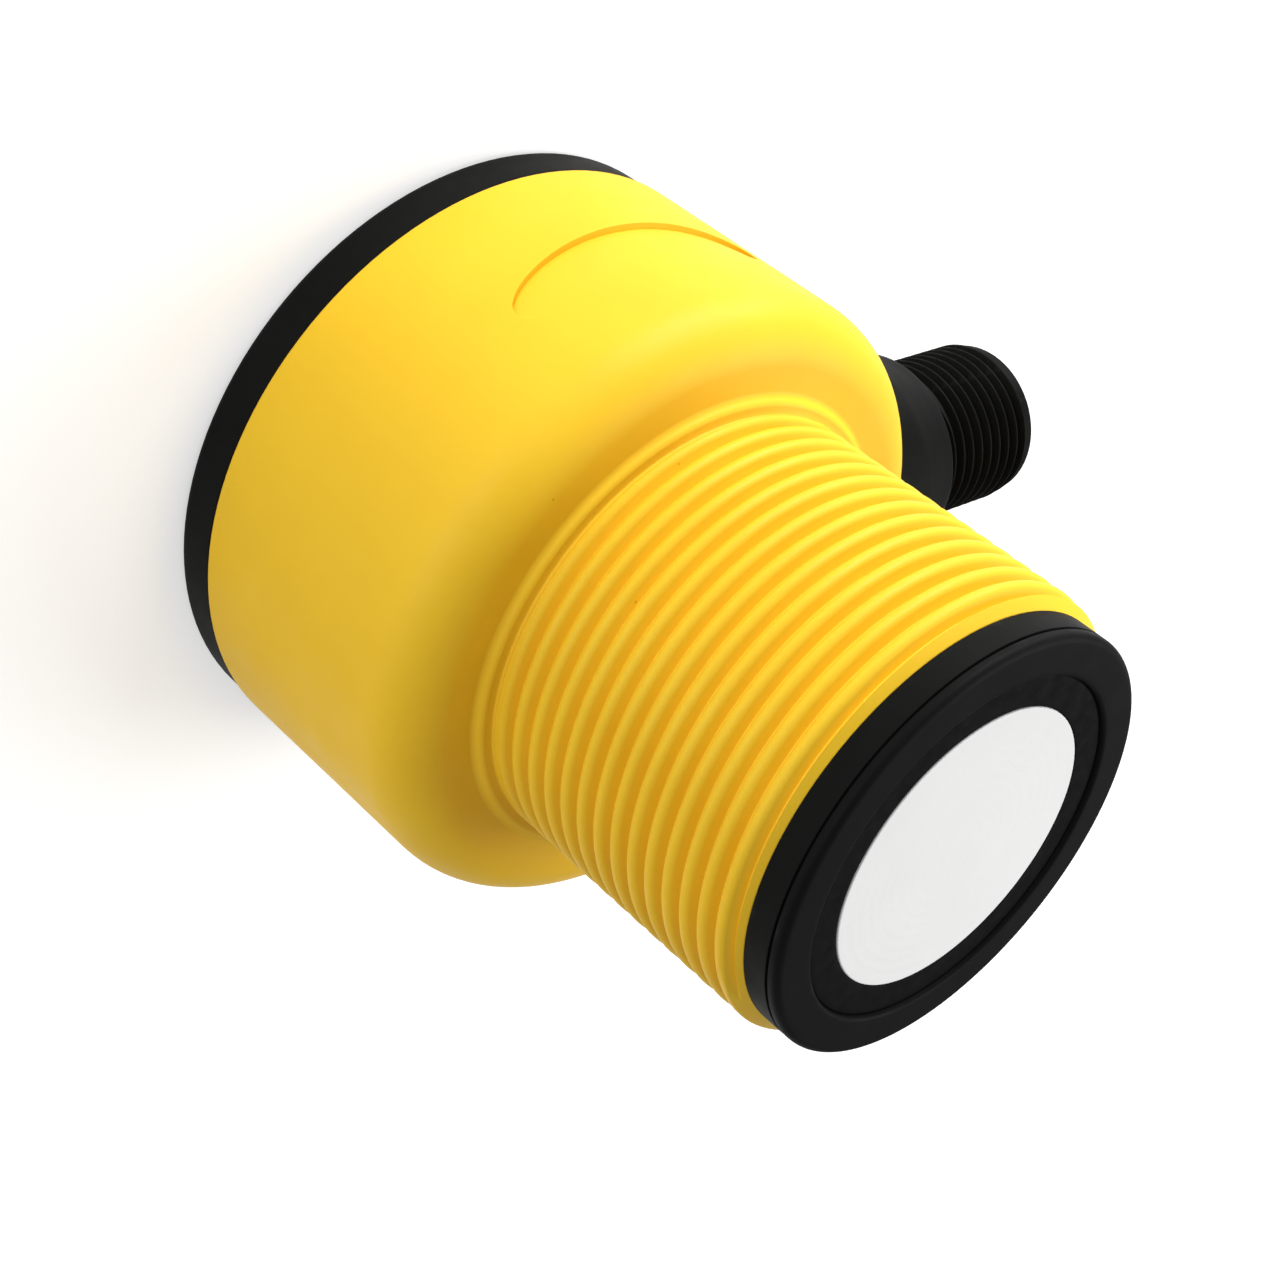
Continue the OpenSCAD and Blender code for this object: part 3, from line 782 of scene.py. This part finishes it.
dish = []
for i in range(6):
    r = DISH_R * i / 5
    dish.append((r, DISH_TOP - DISH_BALL_R + math.sqrt(DISH_BALL_R**2 - r**2)))
left_button = turned(
    "button_cap_left",
    dish
    + arc(KEY_R - KEY_EDGE_R, KEY_FACE + KEY_EDGE_R, KEY_EDGE_R, 270, 360, 5)
    + [(KEY_R, FLANGE_FACE)]
    + arc(FLANGE_R - FLANGE_EDGE_R, FLANGE_FACE + FLANGE_EDGE_R, FLANGE_EDGE_R, 270, 360, 3)
    + arc(FLANGE_R - FLANGE_EDGE_R, KEY_BACK - FLANGE_EDGE_R, FLANGE_EDGE_R, 0, 90, 3)
    + [(0, KEY_BACK)],
    64,
    support=True,
)


def copy_of(piece, name):
    """A copy with its own mesh."""
    pick(piece)
    bpy.ops.object.duplicate(linked=False)
    made = bpy.context.object
    made.name = name
    return made


right_button = copy_of(left_button, "button_cap_right")
moved(left_button, -BUTTON_X, BUTTON_Y)
moved(right_button, BUTTON_X, BUTTON_Y)
finish_piece(left_button, "left_button", "grey_key", "teach_button_left")
finish_piece(right_button, "right_button", "grey_key", "teach_button_right")

# %% Indicator windows
GUIDE_DOME = [(0, 0.3), (0.7, 0.31)]
GUIDE_EDGE_R = 0.3
GUIDE_EDGE_Z = 0.65
GUIDE_COLLAR_R = 2.2
GUIDE_COLLAR_Z = (2.5, 3.3)
GUIDE_TOP = 7

windows = turned(
    "light_guides",
    GUIDE_DOME
    + arc(WINDOW_R - GUIDE_EDGE_R, GUIDE_EDGE_Z, GUIDE_EDGE_R, 270, 360, 4)
    + [(WINDOW_R, GUIDE_COLLAR_Z[0]), (GUIDE_COLLAR_R, GUIDE_COLLAR_Z[0])]
    + [(GUIDE_COLLAR_R, GUIDE_COLLAR_Z[1]), (WINDOW_R, GUIDE_COLLAR_Z[1])]
    + [(WINDOW_R, GUIDE_TOP), (0, GUIDE_TOP)],
    48,
)


def joined(first, *others):
    """Joins pieces into one object that keeps the first one's name."""
    pick(first)
    for other in others:
        other.select_set(True)
    bpy.ops.object.join()


side_windows = [moved(copy_of(windows, "guide"), i * WINDOW_PITCH, 0) for i in (-1, 1)]
joined(windows, *side_windows)
moved(windows, 0, WINDOW_Y)
finish_piece(windows, "sensor_body", "clear_window", "indicator_windows")

# %% [markdown]
# ## Front bezel, soft ring and transducer face
# The black bezel is pressed into the barrel's end. A fine line runs round it just behind
# the rounded front edge. Inside it lies a soft dark ring, a little lower, and in that the
# white layer that the sound leaves through. All three are turned pieces.

# %% Bezel
BODY_H = 74.1
BEZEL_R = 22.6
BEZEL_IN_R = 18.4
BEZEL_ROUND = 0.8
BEZEL_IN_ROUND = 0.4
BEZEL_CHAMFER = 0.1
NECK_R = 20.3
NECK_BACK = 60
NECK_CHAMFER = 0.2
NECK_SEAL = (65.55, 67.25)
NECK_SEAL_R = 19.4
LINE_Z = 72.8

line_wall = [(0, 0.18), (0.05, 0.13), (0.3, 0.08)]
fine_line = [(BEZEL_R - deep, LINE_Z - up) for deep, up in line_wall]
fine_line += [(BEZEL_R - deep, LINE_Z + up) for deep, up in reversed(line_wall)]
bezel = turned(
    "bezel_ring",
    [(BEZEL_IN_R, NECK_BACK), (NECK_R - NECK_CHAMFER, NECK_BACK)]
    + [(NECK_R, NECK_BACK + NECK_CHAMFER), (NECK_R, NECK_SEAL[0]), (NECK_SEAL_R, NECK_SEAL[0])]
    + [(NECK_SEAL_R, NECK_SEAL[1]), (NECK_R, NECK_SEAL[1]), (NECK_R, BARREL_END)]
    + [(BEZEL_R - BEZEL_CHAMFER, BARREL_END), (BEZEL_R, BARREL_END + BEZEL_CHAMFER)]
    + fine_line
    + arc(BEZEL_R - BEZEL_ROUND, BODY_H - BEZEL_ROUND, BEZEL_ROUND, 0, 90, 8)
    + arc(BEZEL_IN_R + BEZEL_IN_ROUND, BODY_H - BEZEL_IN_ROUND, BEZEL_IN_ROUND, 90, 180, 6),
    closed=True,
    support=True,
)
finish_piece(bezel, "sensor_body", "black_plastic", "front_bezel")

# %% Soft ring and white face
FACE_R = 15
FACE_TOP = 73.7
FACE_BACK = 67
FACE_EDGE_R = 0.15
POCKET_R = 12.6
POCKET_TOP = 70
SOFT_IN_R = 13
SOFT_TOP = 73.6
SOFT_BACK = 61.1
SOFT_SHELF = 62.5
SOFT_ROUND = 0.25
SOFT_IN_ROUND = 0.2

soft_ring = turned(
    "soft_ring",
    [(SOFT_IN_R, SOFT_BACK), (BEZEL_IN_R, SOFT_BACK)]
    + arc(BEZEL_IN_R - SOFT_ROUND, SOFT_TOP - SOFT_ROUND, SOFT_ROUND, 0, 90, 3)
    + arc(FACE_R + SOFT_IN_ROUND, SOFT_TOP - SOFT_IN_ROUND, SOFT_IN_ROUND, 90, 180, 3)
    + [(FACE_R, SOFT_SHELF), (SOFT_IN_R, SOFT_SHELF)],
    closed=True,
    support=True,
)
finish_piece(soft_ring, "sensor_body", "black_rubber", "decoupling_ring")

white_face = turned(
    "matching_layer",
    [(0, POCKET_TOP), (POCKET_R, POCKET_TOP), (POCKET_R, FACE_BACK), (FACE_R, FACE_BACK)]
    + arc(FACE_R - FACE_EDGE_R, FACE_TOP - FACE_EDGE_R, FACE_EDGE_R, 0, 90, 4)
    + [(10, FACE_TOP), (0, FACE_TOP)],
)
finish_piece(white_face, "sensor_body", "white_face", "transducer_face")

# %% [markdown]
# ## Plug connector
# The connector is a black moulded shell: a collar that narrows towards a rounded rim, a
# fine thread for the cable's nut and a plain end. It is turned upright, threaded with the
# same tool shape in a finer pitch, and then laid along +Y. A small key inside the socket
# fits the groove of the cable's plug.

# %% Connector shell
PLUG_R = 9
COLLAR_BASE_R = 12.6
COLLAR_FLARE = [(COLLAR_BASE_R, 37.6), (12.55, 38.3), (12.42, 38.9), (12.2, 39.6), (11.35, 42.6)]
COLLAR_R = 11
COLLAR_END = 45.13
COLLAR_ROUND = 1.3
SEAL_SEAT_R = (8.2, 11.7)
SEAL_SEAT_DEPTH = 0.8
PLUG_THREAD_END = 59.33
PLUG_END = 60.93
SOCKET_R = 7.1
INSERT_BACK = 43.43
SOCKET_FLOOR = 49.43
TAIL_BACK = 19.53
TAIL_BORE_R = 5.8
NECK_DEPTH = 0.9
NECK_LENGTH = 0.8
TIP_R = 8.6
TIP_ROUND = 0.5
SMALL_ROUND = 0.2
RIM_ROUND = 0.3

shell = turned(
    "connector_body",
    [(TAIL_BORE_R, TAIL_BACK), (TAIL_R - SMALL_ROUND, TAIL_BACK)]
    + [(TAIL_R, TAIL_BACK + SMALL_ROUND), (TAIL_R, SEAT_Y), (SEAL_SEAT_R[0], SEAT_Y)]
    + [(r, SEAT_Y + SEAL_SEAT_DEPTH) for r in SEAL_SEAT_R]
    + [(SEAL_SEAT_R[1], SEAT_Y)]
    + arc(COLLAR_BASE_R - SMALL_ROUND, SEAT_Y + SMALL_ROUND, SMALL_ROUND, 270, 360, 3)
    + COLLAR_FLARE
    + arc(COLLAR_R - COLLAR_ROUND, COLLAR_END - COLLAR_ROUND, COLLAR_ROUND, 18, 90, 8)
    + [(PLUG_R - NECK_DEPTH, COLLAR_END), (PLUG_R - NECK_DEPTH, COLLAR_END + NECK_LENGTH)]
    + [(PLUG_R, COLLAR_END + NECK_LENGTH), (PLUG_R, PLUG_THREAD_END - RIM_ROUND)]
    + [(PLUG_R - RIM_ROUND, PLUG_THREAD_END), (TIP_R, PLUG_THREAD_END)]
    + arc(TIP_R - TIP_ROUND, PLUG_END - TIP_ROUND, TIP_ROUND, 0, 90, 5)
    + arc(SOCKET_R + RIM_ROUND, PLUG_END - RIM_ROUND, RIM_ROUND, 90, 180, 4)
    + [(SOCKET_R, INSERT_BACK), (TAIL_BORE_R, INSERT_BACK)],
    closed=True,
    support=True,
)

# %% Connector thread
FINE_PITCH = 1.5
FINE_HALF_ANGLE = 30
FINE_ROUND = 0.2
FINE_START_Z = 46.2
FINE_STEPS = 1088
FINE_FIRST_STEP = 71
FINE_LIFT = 1.3
FINE_MERGE = 1e-5

fine_groove = groove_outline(PLUG_R, FINE_PITCH, FINE_HALF_ANGLE, FINE_ROUND, FINE_ROUND)
fine_tool = thread_tool(
    "plug_thread_tool",
    fine_groove,
    FINE_PITCH,
    FINE_START_Z,
    FINE_STEPS,
    FINE_FIRST_STEP,
    FINE_LIFT,
)
boolean(shell, fine_tool, "DIFFERENCE")
heal(shell, FINE_MERGE)
count_up(shell)

# %% Socket key
SOCKET_KEY_HALF = 0.8
SOCKET_KEY_RISE = 0.8
SOCKET_KEY_ROOT = 0.6
SOCKET_KEY_FRONT = 57.43

key = bar(
    "socket_key",
    (-SOCKET_KEY_HALF, SOCKET_R - SOCKET_KEY_RISE, SOCKET_FLOOR - 0.2),
    (SOCKET_KEY_HALF, SOCKET_R + SOCKET_KEY_ROOT, SOCKET_KEY_FRONT),
)
boolean(shell, key, "UNION")
on_plug_axis(shell)
count_up(shell)
finish_piece(shell, "sensor_body", "black_plastic", "connector_shell")

# %% [markdown]
# The insert is a plain disc that holds five gold-plated pins on a circle. One pin is
# turned with a rounded tip and copied, and the insert's holes have a small countersink.

# %% Insert
PINS = 5
PIN_R = 0.8
PIN_CIRCLE_R = 4.6
COUNTERSINK_R = 1.05
COUNTERSINK_DEPTH = 0.25
INSERT_CHAMFER = 0.2

pin_places = []
for i in range(PINS):
    a = math.radians(-90 + 360 / PINS * i)
    pin_places.append((PIN_CIRCLE_R * math.cos(a), PIN_CIRCLE_R * math.sin(a)))

insert = turned(
    "pin_insert",
    [(0, INSERT_BACK), (SOCKET_R, INSERT_BACK), (SOCKET_R, SOCKET_FLOOR - INSERT_CHAMFER)]
    + [(SOCKET_R - INSERT_CHAMFER, SOCKET_FLOOR), (0, SOCKET_FLOOR)],
    64,
)
pin_line = [(0, INSERT_BACK - 1), (PIN_R, INSERT_BACK - 1)]
pin_line += [(PIN_R, SOCKET_FLOOR - COUNTERSINK_DEPTH), (COUNTERSINK_R, SOCKET_FLOOR)]
pin_line += [(COUNTERSINK_R, SOCKET_FLOOR + 1), (0, SOCKET_FLOOR + 1)]
for x, y in pin_places:
    boolean(insert, moved(turned("pin_hole", pin_line, 32), x, y), "DIFFERENCE")
on_plug_axis(insert)
finish_piece(insert, "sensor_body", "grey_insert", "connector_insert")

# %% Pins
PIN_BACK = 40.43
PIN_FRONT = 57.43
PIN_ROUND = 0.6

pin = turned(
    "pins",
    [(0, PIN_BACK), (PIN_R, PIN_BACK), (PIN_R, PIN_FRONT - PIN_ROUND)]
    + arc(PIN_R - PIN_ROUND, PIN_FRONT - PIN_ROUND, PIN_ROUND, 0, 90, 5)
    + [(0, PIN_FRONT)],
    32,
)
others = [moved(copy_of(pin, "pin"), x, y) for x, y in pin_places[1:]]
moved(pin, *pin_places[0])
joined(pin, *others)
on_plug_axis(pin)
finish_piece(pin, "sensor_body", "gold_contact", "contact_pins")

# %% [markdown]
# ## Finishes
# Every finish is built from a few patterns that read the object's own coordinates, so
# they stay on the piece from every side: a slow change of tone, a fine grain that also
# raises the surface, and a lighter tone where the mesh has edges, which is wear and, on
# the plastics, also a painted highlight.

# %% A new finish
def new_finish(name, roughness, metallic=0.0, specular=0.5):
    """A new material with its shader, ready for patterns."""
    finish = bpy.data.materials.new(name)
    finish.use_nodes = True
    shader = finish.node_tree.nodes["Principled BSDF"]
    shader.inputs["Roughness"].default_value = roughness
    shader.inputs["Metallic"].default_value = metallic
    shader.inputs["Specular IOR Level"].default_value = specular
    return finish, finish.node_tree, shader


def own_place(tree, stretch=(1, 1, 1)):
    """The object's own coordinates, stretched along an axis where a pattern has a direction."""
    coords = tree.nodes.new("ShaderNodeTexCoord")
    mapping = tree.nodes.new("ShaderNodeMapping")
    mapping.inputs["Scale"].default_value = stretch
    tree.links.new(coords.outputs["Object"], mapping.inputs["Vector"])
    return mapping.outputs["Vector"]


# %% Patterns
def texture(tree, kind, place, settings):
    """A texture node that reads place, with its settings given by socket name."""
    made = tree.nodes.new("ShaderNodeTex" + kind)
    for socket, value in settings.items():
        feed(tree, made.inputs[socket], value)
    tree.links.new(place, made.inputs["Vector"])
    return made


def clouds(tree, place, size_mm, detail=2.0, sharpness=0.5):
    """Soft random blotches of about size_mm, between 0 and 1."""
    settings = {"Scale": 1 / (size_mm * MM), "Detail": detail, "Roughness": sharpness}
    return texture(tree, "Noise", place, settings).outputs["Fac"]


def spots(tree, place, size_mm):
    """Distance to the nearest of many random points, about size_mm apart."""
    return texture(tree, "Voronoi", place, {"Scale": 1 / (size_mm * MM)}).outputs["Distance"]


def between(tree, value, low, high, out_low=0.0, out_high=1.0):
    """Maps value from low..high to out_low..out_high."""
    made = tree.nodes.new("ShaderNodeMapRange")
    made.inputs["From Min"].default_value = low
    made.inputs["From Max"].default_value = high
    made.inputs["To Min"].default_value = out_low
    made.inputs["To Max"].default_value = out_high
    tree.links.new(value, made.inputs["Value"])
    return made.outputs["Result"]


def tones(tree, amount, first, second):
    """A colour between first and second."""
    made = tree.nodes.new("ShaderNodeMix")
    made.data_type = "RGBA"
    feed(tree, made.inputs[6], first)
    feed(tree, made.inputs[7], second)
    tree.links.new(amount, made.inputs[0])
    return made.outputs[2]


# %% Relief and edges
EDGE_START = 0.56
EDGE_FULL = 0.68


def raised(tree, shader, height, depth_mm, onto=None):
    """Raises the surface by height, which goes from 0 to 1, and returns the new normal."""
    made = tree.nodes.new("ShaderNodeBump")
    made.inputs["Distance"].default_value = depth_mm * MM
    made.inputs["Strength"].default_value = 1
    tree.links.new(height, made.inputs["Height"])
    if onto is not None:
        tree.links.new(onto, made.inputs["Normal"])
    tree.links.new(made.outputs["Normal"], shader.inputs["Normal"])
    return made.outputs["Normal"]


def edges(tree):
    """1 on sharp outward edges, 0 on flat faces."""
    shape = tree.nodes.new("ShaderNodeNewGeometry")
    return between(tree, shape.outputs["Pointiness"], EDGE_START, EDGE_FULL)


def shine_between(tree, shader, pattern, low, high):
    """Lets the roughness follow a pattern, from low to high."""
    tree.links.new(between(tree, pattern, 0.3, 0.7, low, high), shader.inputs["Roughness"])


def give(finish, *pieces):
    """Puts one finish on pieces, or on CAD nodes through their slots."""
    for piece in pieces:
        if isinstance(piece, str):
            piece = nodes[piece]
        if not piece.data.materials:
            piece.data.materials.append(finish)
        for slot in piece.material_slots:
            slot.material = finish
        print(finish.name, "on", piece.name)


# %% [markdown]
# ### Moulded plastic
# The yellow plastic is coloured all through and has a very fine grain from the mould. Its
# tone drifts a little over a centimetre or two, tiny dark specks lie in it, and raised
# edges are a shade lighter, partly as wear and partly as a painted highlight. The black
# plastic is the same with less contrast.

# %% Moulded plastic
EDGE_WEAR_AND_SHEEN = 0.5
SPECKS_APART = 6.5
SPECK_TONE = 0.45


def moulded(name, colours, roughness, grain_mm, grain_depth_mm, specks=0.0, specular=0.5):
    """Moulded plastic: tone drift, grain, pale edges and a few specks.

    The colours are the plain tone, the tone it drifts to, and the edge tone, which is partly wear
    and partly a painted highlight.
    """
    colour, shade, light_edge = colours
    finish, tree, shader = new_finish(name, roughness, specular=specular)
    place = own_place(tree)
    drift = between(tree, clouds(tree, place, 16, 3), 0.35, 0.65)
    base = tones(tree, drift, colour, shade)
    # Sharp edges and thread crests get the lighter tone: partly wear, partly a painted highlight.
    worn_and_sheen = reckoned(tree, "MULTIPLY", edges(tree), EDGE_WEAR_AND_SHEEN)
    base = tones(tree, worn_and_sheen, base, light_edge)
    if specks:
        speck = between(tree, spots(tree, place, SPECKS_APART), 0.030, 0.018, 0, specks)
        base = tones(tree, speck, base, [c * SPECK_TONE for c in colour])
    tree.links.new(base, shader.inputs["Base Color"])
    shine_between(tree, shader, clouds(tree, place, 5, 4), roughness - 0.05, roughness + 0.06)
    raised(tree, shader, clouds(tree, place, grain_mm, 3, 0.6), grain_depth_mm)
    return finish


# %% The sensor's plastics
yellow_tones = ((0.87, 0.545, 0.022), (0.84, 0.515, 0.019), (0.91, 0.60, 0.04))
black_tones = ((0.0045, 0.005, 0.0045), (0.006, 0.0065, 0.006), (0.020, 0.021, 0.020))
key_tones = ((0.40, 0.41, 0.42), (0.36, 0.37, 0.38), (0.50, 0.51, 0.52))
insert_tones = ((0.035, 0.035, 0.038), (0.045, 0.045, 0.048), (0.08, 0.08, 0.085))
yellow = moulded("yellow_plastic", yellow_tones, 0.54, 0.35, 0.010, 0.5, specular=0.22)
black = moulded("black_plastic", black_tones, 0.55, 0.4, 0.010, specular=0.04)
give(yellow, housing)
give(black, cover, bezel, shell)
grey_key = moulded("grey_key", key_tones, 0.45, 0.3, 0.012)
give(grey_key, left_button, right_button, "plunger_left", "plunger_right")
give(moulded("grey_insert", insert_tones, 0.55, 0.5, 0.015), insert)

# %% [markdown]
# ### Rubber and the white face
# The soft ring and the seals are matt and a little dusty. The white face is a light,
# slightly porous layer that is turned flat, so it has faint rings about the barrel's axis.

# %% Rubber
rubber, tree, shader = new_finish("black_rubber", 0.72, specular=0.05)
place = own_place(tree)
dusty = between(tree, clouds(tree, place, 3, 5, 0.65), 0.5, 0.85, 0, 0.35)
base = tones(tree, dusty, (0.0042, 0.0042, 0.0045), (0.0060, 0.0060, 0.0064))
tree.links.new(base, shader.inputs["Base Color"])
shine_between(tree, shader, clouds(tree, place, 1.5, 3), 0.62, 0.8)
raised(tree, shader, clouds(tree, place, 0.25, 3, 0.6), 0.012)
give(rubber, soft_ring, "cover_seal", "button_seals", "bezel_seal", "connector_seal")

# %% White face
white, tree, shader = new_finish("white_face", 0.62)
place = own_place(tree)
tone = between(tree, clouds(tree, place, 7, 4), 0.35, 0.7)
base = tones(tree, tone, (0.93, 0.93, 0.925), (0.91, 0.91, 0.905))
pore = between(tree, spots(tree, place, 0.9), 0.16, 0.08, 0, 0.25)
tree.links.new(tones(tree, pore, base, (0.78, 0.78, 0.77)), shader.inputs["Base Color"])
rings = texture(tree, "Wave", place, {"Scale": 1 / (4 * MM), "Distortion": 0.6})
rings.wave_type = "RINGS"
rings.rings_direction = "Z"
turned_rings = raised(tree, shader, rings.outputs["Fac"], 0.004)
raised(tree, shader, clouds(tree, place, 0.3, 3), 0.012, turned_rings)
shine_between(tree, shader, clouds(tree, place, 2, 3), 0.56, 0.68)
give(white, white_face)

# %% [markdown]
# ### Metals
# Zinc-plated screws, the nickel-plated nut, gold-plated pins, and the silver that is
# fired onto the piezo disc. Each has its own fine scratches, along its length or across.

# %% Metals
EDGE_POLISH = 1.15


def metal(name, colour, shade, roughness, scratch_stretch, scratch_mm=0.25, depth_mm=0.004):
    """A metal with a little tarnish and scratches drawn out along one direction."""
    finish, tree, shader = new_finish(name, roughness, 1.0)
    place = own_place(tree)
    tarnish = between(tree, clouds(tree, place, 3, 4, 0.6), 0.4, 0.7)
    base = tones(tree, tarnish, colour, shade)
    base = tones(tree, edges(tree), base, [min(1, c * EDGE_POLISH) for c in colour])
    tree.links.new(base, shader.inputs["Base Color"])
    drawn = clouds(tree, own_place(tree, scratch_stretch), scratch_mm, 3, 0.6)
    shine_between(tree, shader, drawn, roughness - 0.06, roughness + 0.1)
    raised(tree, shader, drawn, depth_mm)
    return finish


gold = metal("gold_contact", (0.94, 0.66, 0.27), (0.85, 0.56, 0.21), 0.20, (1, 0.1, 1))
nickel = metal("nickel", (0.66, 0.64, 0.60), (0.55, 0.53, 0.49), 0.28, (1, 0.15, 1))
zinc = metal("screw_steel", (0.62, 0.63, 0.64), (0.50, 0.51, 0.52), 0.32, (1, 1, 0.2))
silver = metal("piezo_silver", (0.76, 0.75, 0.72), (0.66, 0.64, 0.60), 0.45, (1, 1, 1), 0.15, 0.01)
give(gold, pin)
give(nickel, "connector_nut")
give(zinc, "board_screws")
give(silver, "piezo_disc")

# %% [markdown]
# ### Electronics
# The inside isn't seen in the photograph, but it shows when the cover is off. Boards are
# glass cloth under green lacquer with copper tracks, chips are matt epoxy, the capacitors
# wear a shiny sleeve, the transformer is wound with enamelled copper on a ferrite core.

# %% Circuit boards
TRACK_PATTERN = {
    "Scale": 1 / (12 * MM),
    "Mortar Size": 0.012,
    "Mortar Smooth": 0.2,
    "Brick Width": 0.9,
    "Row Height": 0.11,
    "Color1": (0, 0, 0),
    "Color2": (0, 0, 0),
    "Mortar": (1, 1, 1),
}


def board_finish(name, across):
    """Green lacquer over copper tracks; across is the axis that the board faces along."""
    finish, tree, shader = new_finish(name, 0.38)
    place = own_place(tree)
    split = tree.nodes.new("ShaderNodeSeparateXYZ")
    tree.links.new(place, split.inputs["Vector"])
    flat = tree.nodes.new("ShaderNodeCombineXYZ")
    first, second = [k for k in range(3) if k != across]
    tree.links.new(split.outputs[first], flat.inputs[0])
    tree.links.new(split.outputs[second], flat.inputs[1])
    tracks = texture(tree, "Brick", flat.outputs[0], TRACK_PATTERN).outputs["Color"]
    weave = clouds(tree, place, 0.5, 2)
    woven = between(tree, weave, 0.3, 0.7)
    green = tones(tree, woven, (0.010, 0.095, 0.035), (0.014, 0.125, 0.045))
    base = tones(tree, tracks, green, (0.05, 0.26, 0.09))
    tree.links.new(base, shader.inputs["Base Color"])
    shine_between(tree, shader, weave, 0.32, 0.46)
    raised(tree, shader, tracks, 0.03)
    return finish


give(board_finish("board_flat", 2), "control_board")
give(board_finish("board_upright", 1), "main_board")

# %% Chips and the header
epoxy_tones = ((0.018, 0.018, 0.020), (0.026, 0.026, 0.028), (0.06, 0.06, 0.06))
epoxy = moulded("chip", epoxy_tones, 0.62, 0.15, 0.012)
give(epoxy, "processor_chip", "amplifier_chip", "tact_switches", "board_link")


# %% Windows and lamps
def clear_plastic(name, colour, haze, roughness):
    """Clear plastic with a faint haze in it."""
    finish, tree, shader = new_finish(name, roughness)
    place = own_place(tree)
    tone = between(tree, clouds(tree, place, 1.2, 3), 0.3, 0.7)
    tree.links.new(tones(tree, tone, colour, haze), shader.inputs["Base Color"])
    shader.inputs["Transmission Weight"].default_value = 0.85
    shader.inputs["IOR"].default_value = 1.49
    haziness = between(tree, tone, 0, 1, roughness, roughness + 0.08)
    tree.links.new(haziness, shader.inputs["Roughness"])
    raised(tree, shader, clouds(tree, place, 0.6, 2), 0.004)
    return finish


give(clear_plastic("clear_window", (0.86, 0.90, 0.90), (0.78, 0.84, 0.84), 0.08), windows)
give(clear_plastic("lamp", (0.90, 0.84, 0.55), (0.82, 0.76, 0.48), 0.20), "status_leds")


# %% Transformer winding and capacitors
WAVE_PER_BAND = 0.314


def banded(name, colour, shade, roughness, metallic, direction, band_mm, depth_mm):
    """A finish with fine bands across one direction: windings, or a ribbed sleeve, with painted
    shade in each band's low part.
    """
    finish, tree, shader = new_finish(name, roughness, metallic)
    place = own_place(tree)
    settings = {"Scale": WAVE_PER_BAND / (band_mm * MM), "Distortion": 0.3}
    bands = texture(tree, "Wave", place, settings)
    bands.wave_type = "BANDS"
    bands.bands_direction = direction
    # Each band's low part takes the darker tone: painted shade in the groove between turns or
    # ribs.
    tree.links.new(tones(tree, bands.outputs["Fac"], shade, colour), shader.inputs["Base Color"])
    shine_between(tree, shader, clouds(tree, place, 1, 3), roughness - 0.05, roughness + 0.08)
    raised(tree, shader, bands.outputs["Fac"], depth_mm)
    return finish


copper_colour, copper_shade = (0.62, 0.22, 0.07), (0.36, 0.11, 0.03)
copper = banded("copper_wire", copper_colour, copper_shade, 0.26, 0.85, "Y", 0.3, 0.06)
give(copper, "transformer_winding")
sleeve_colour, sleeve_shade = (0.035, 0.06, 0.20), (0.028, 0.05, 0.17)
sleeve = banded("can_sleeve", sleeve_colour, sleeve_shade, 0.22, 0.0, "Z", 5.5, 0.02)
give(sleeve, "storage_capacitors")

# %% Wires, ferrite and the damping block
lead_tones = ((0.42, 0.025, 0.02), (0.36, 0.02, 0.016), (0.5, 0.05, 0.04))
ferrite_tones = ((0.055, 0.055, 0.060), (0.075, 0.075, 0.080), (0.12, 0.12, 0.125))
backing_tones = ((0.40, 0.28, 0.15), (0.30, 0.21, 0.11), (0.46, 0.34, 0.20))
lead_finish = moulded("lead_sleeve", lead_tones, 0.35, 0.4, 0.006)
give(lead_finish, "transducer_leads", "connector_leads")
give(moulded("ferrite", ferrite_tones, 0.60, 0.2, 0.02, 0.4), "transformer_core")
give(moulded("backing", backing_tones, 0.75, 0.5, 0.03, 0.6), "backing_block")
shown = [o for o in bpy.data.objects if o.type == "MESH" and not o.hide_render]
print("pieces without a finish:", [o.name for o in shown if not o.data.materials])
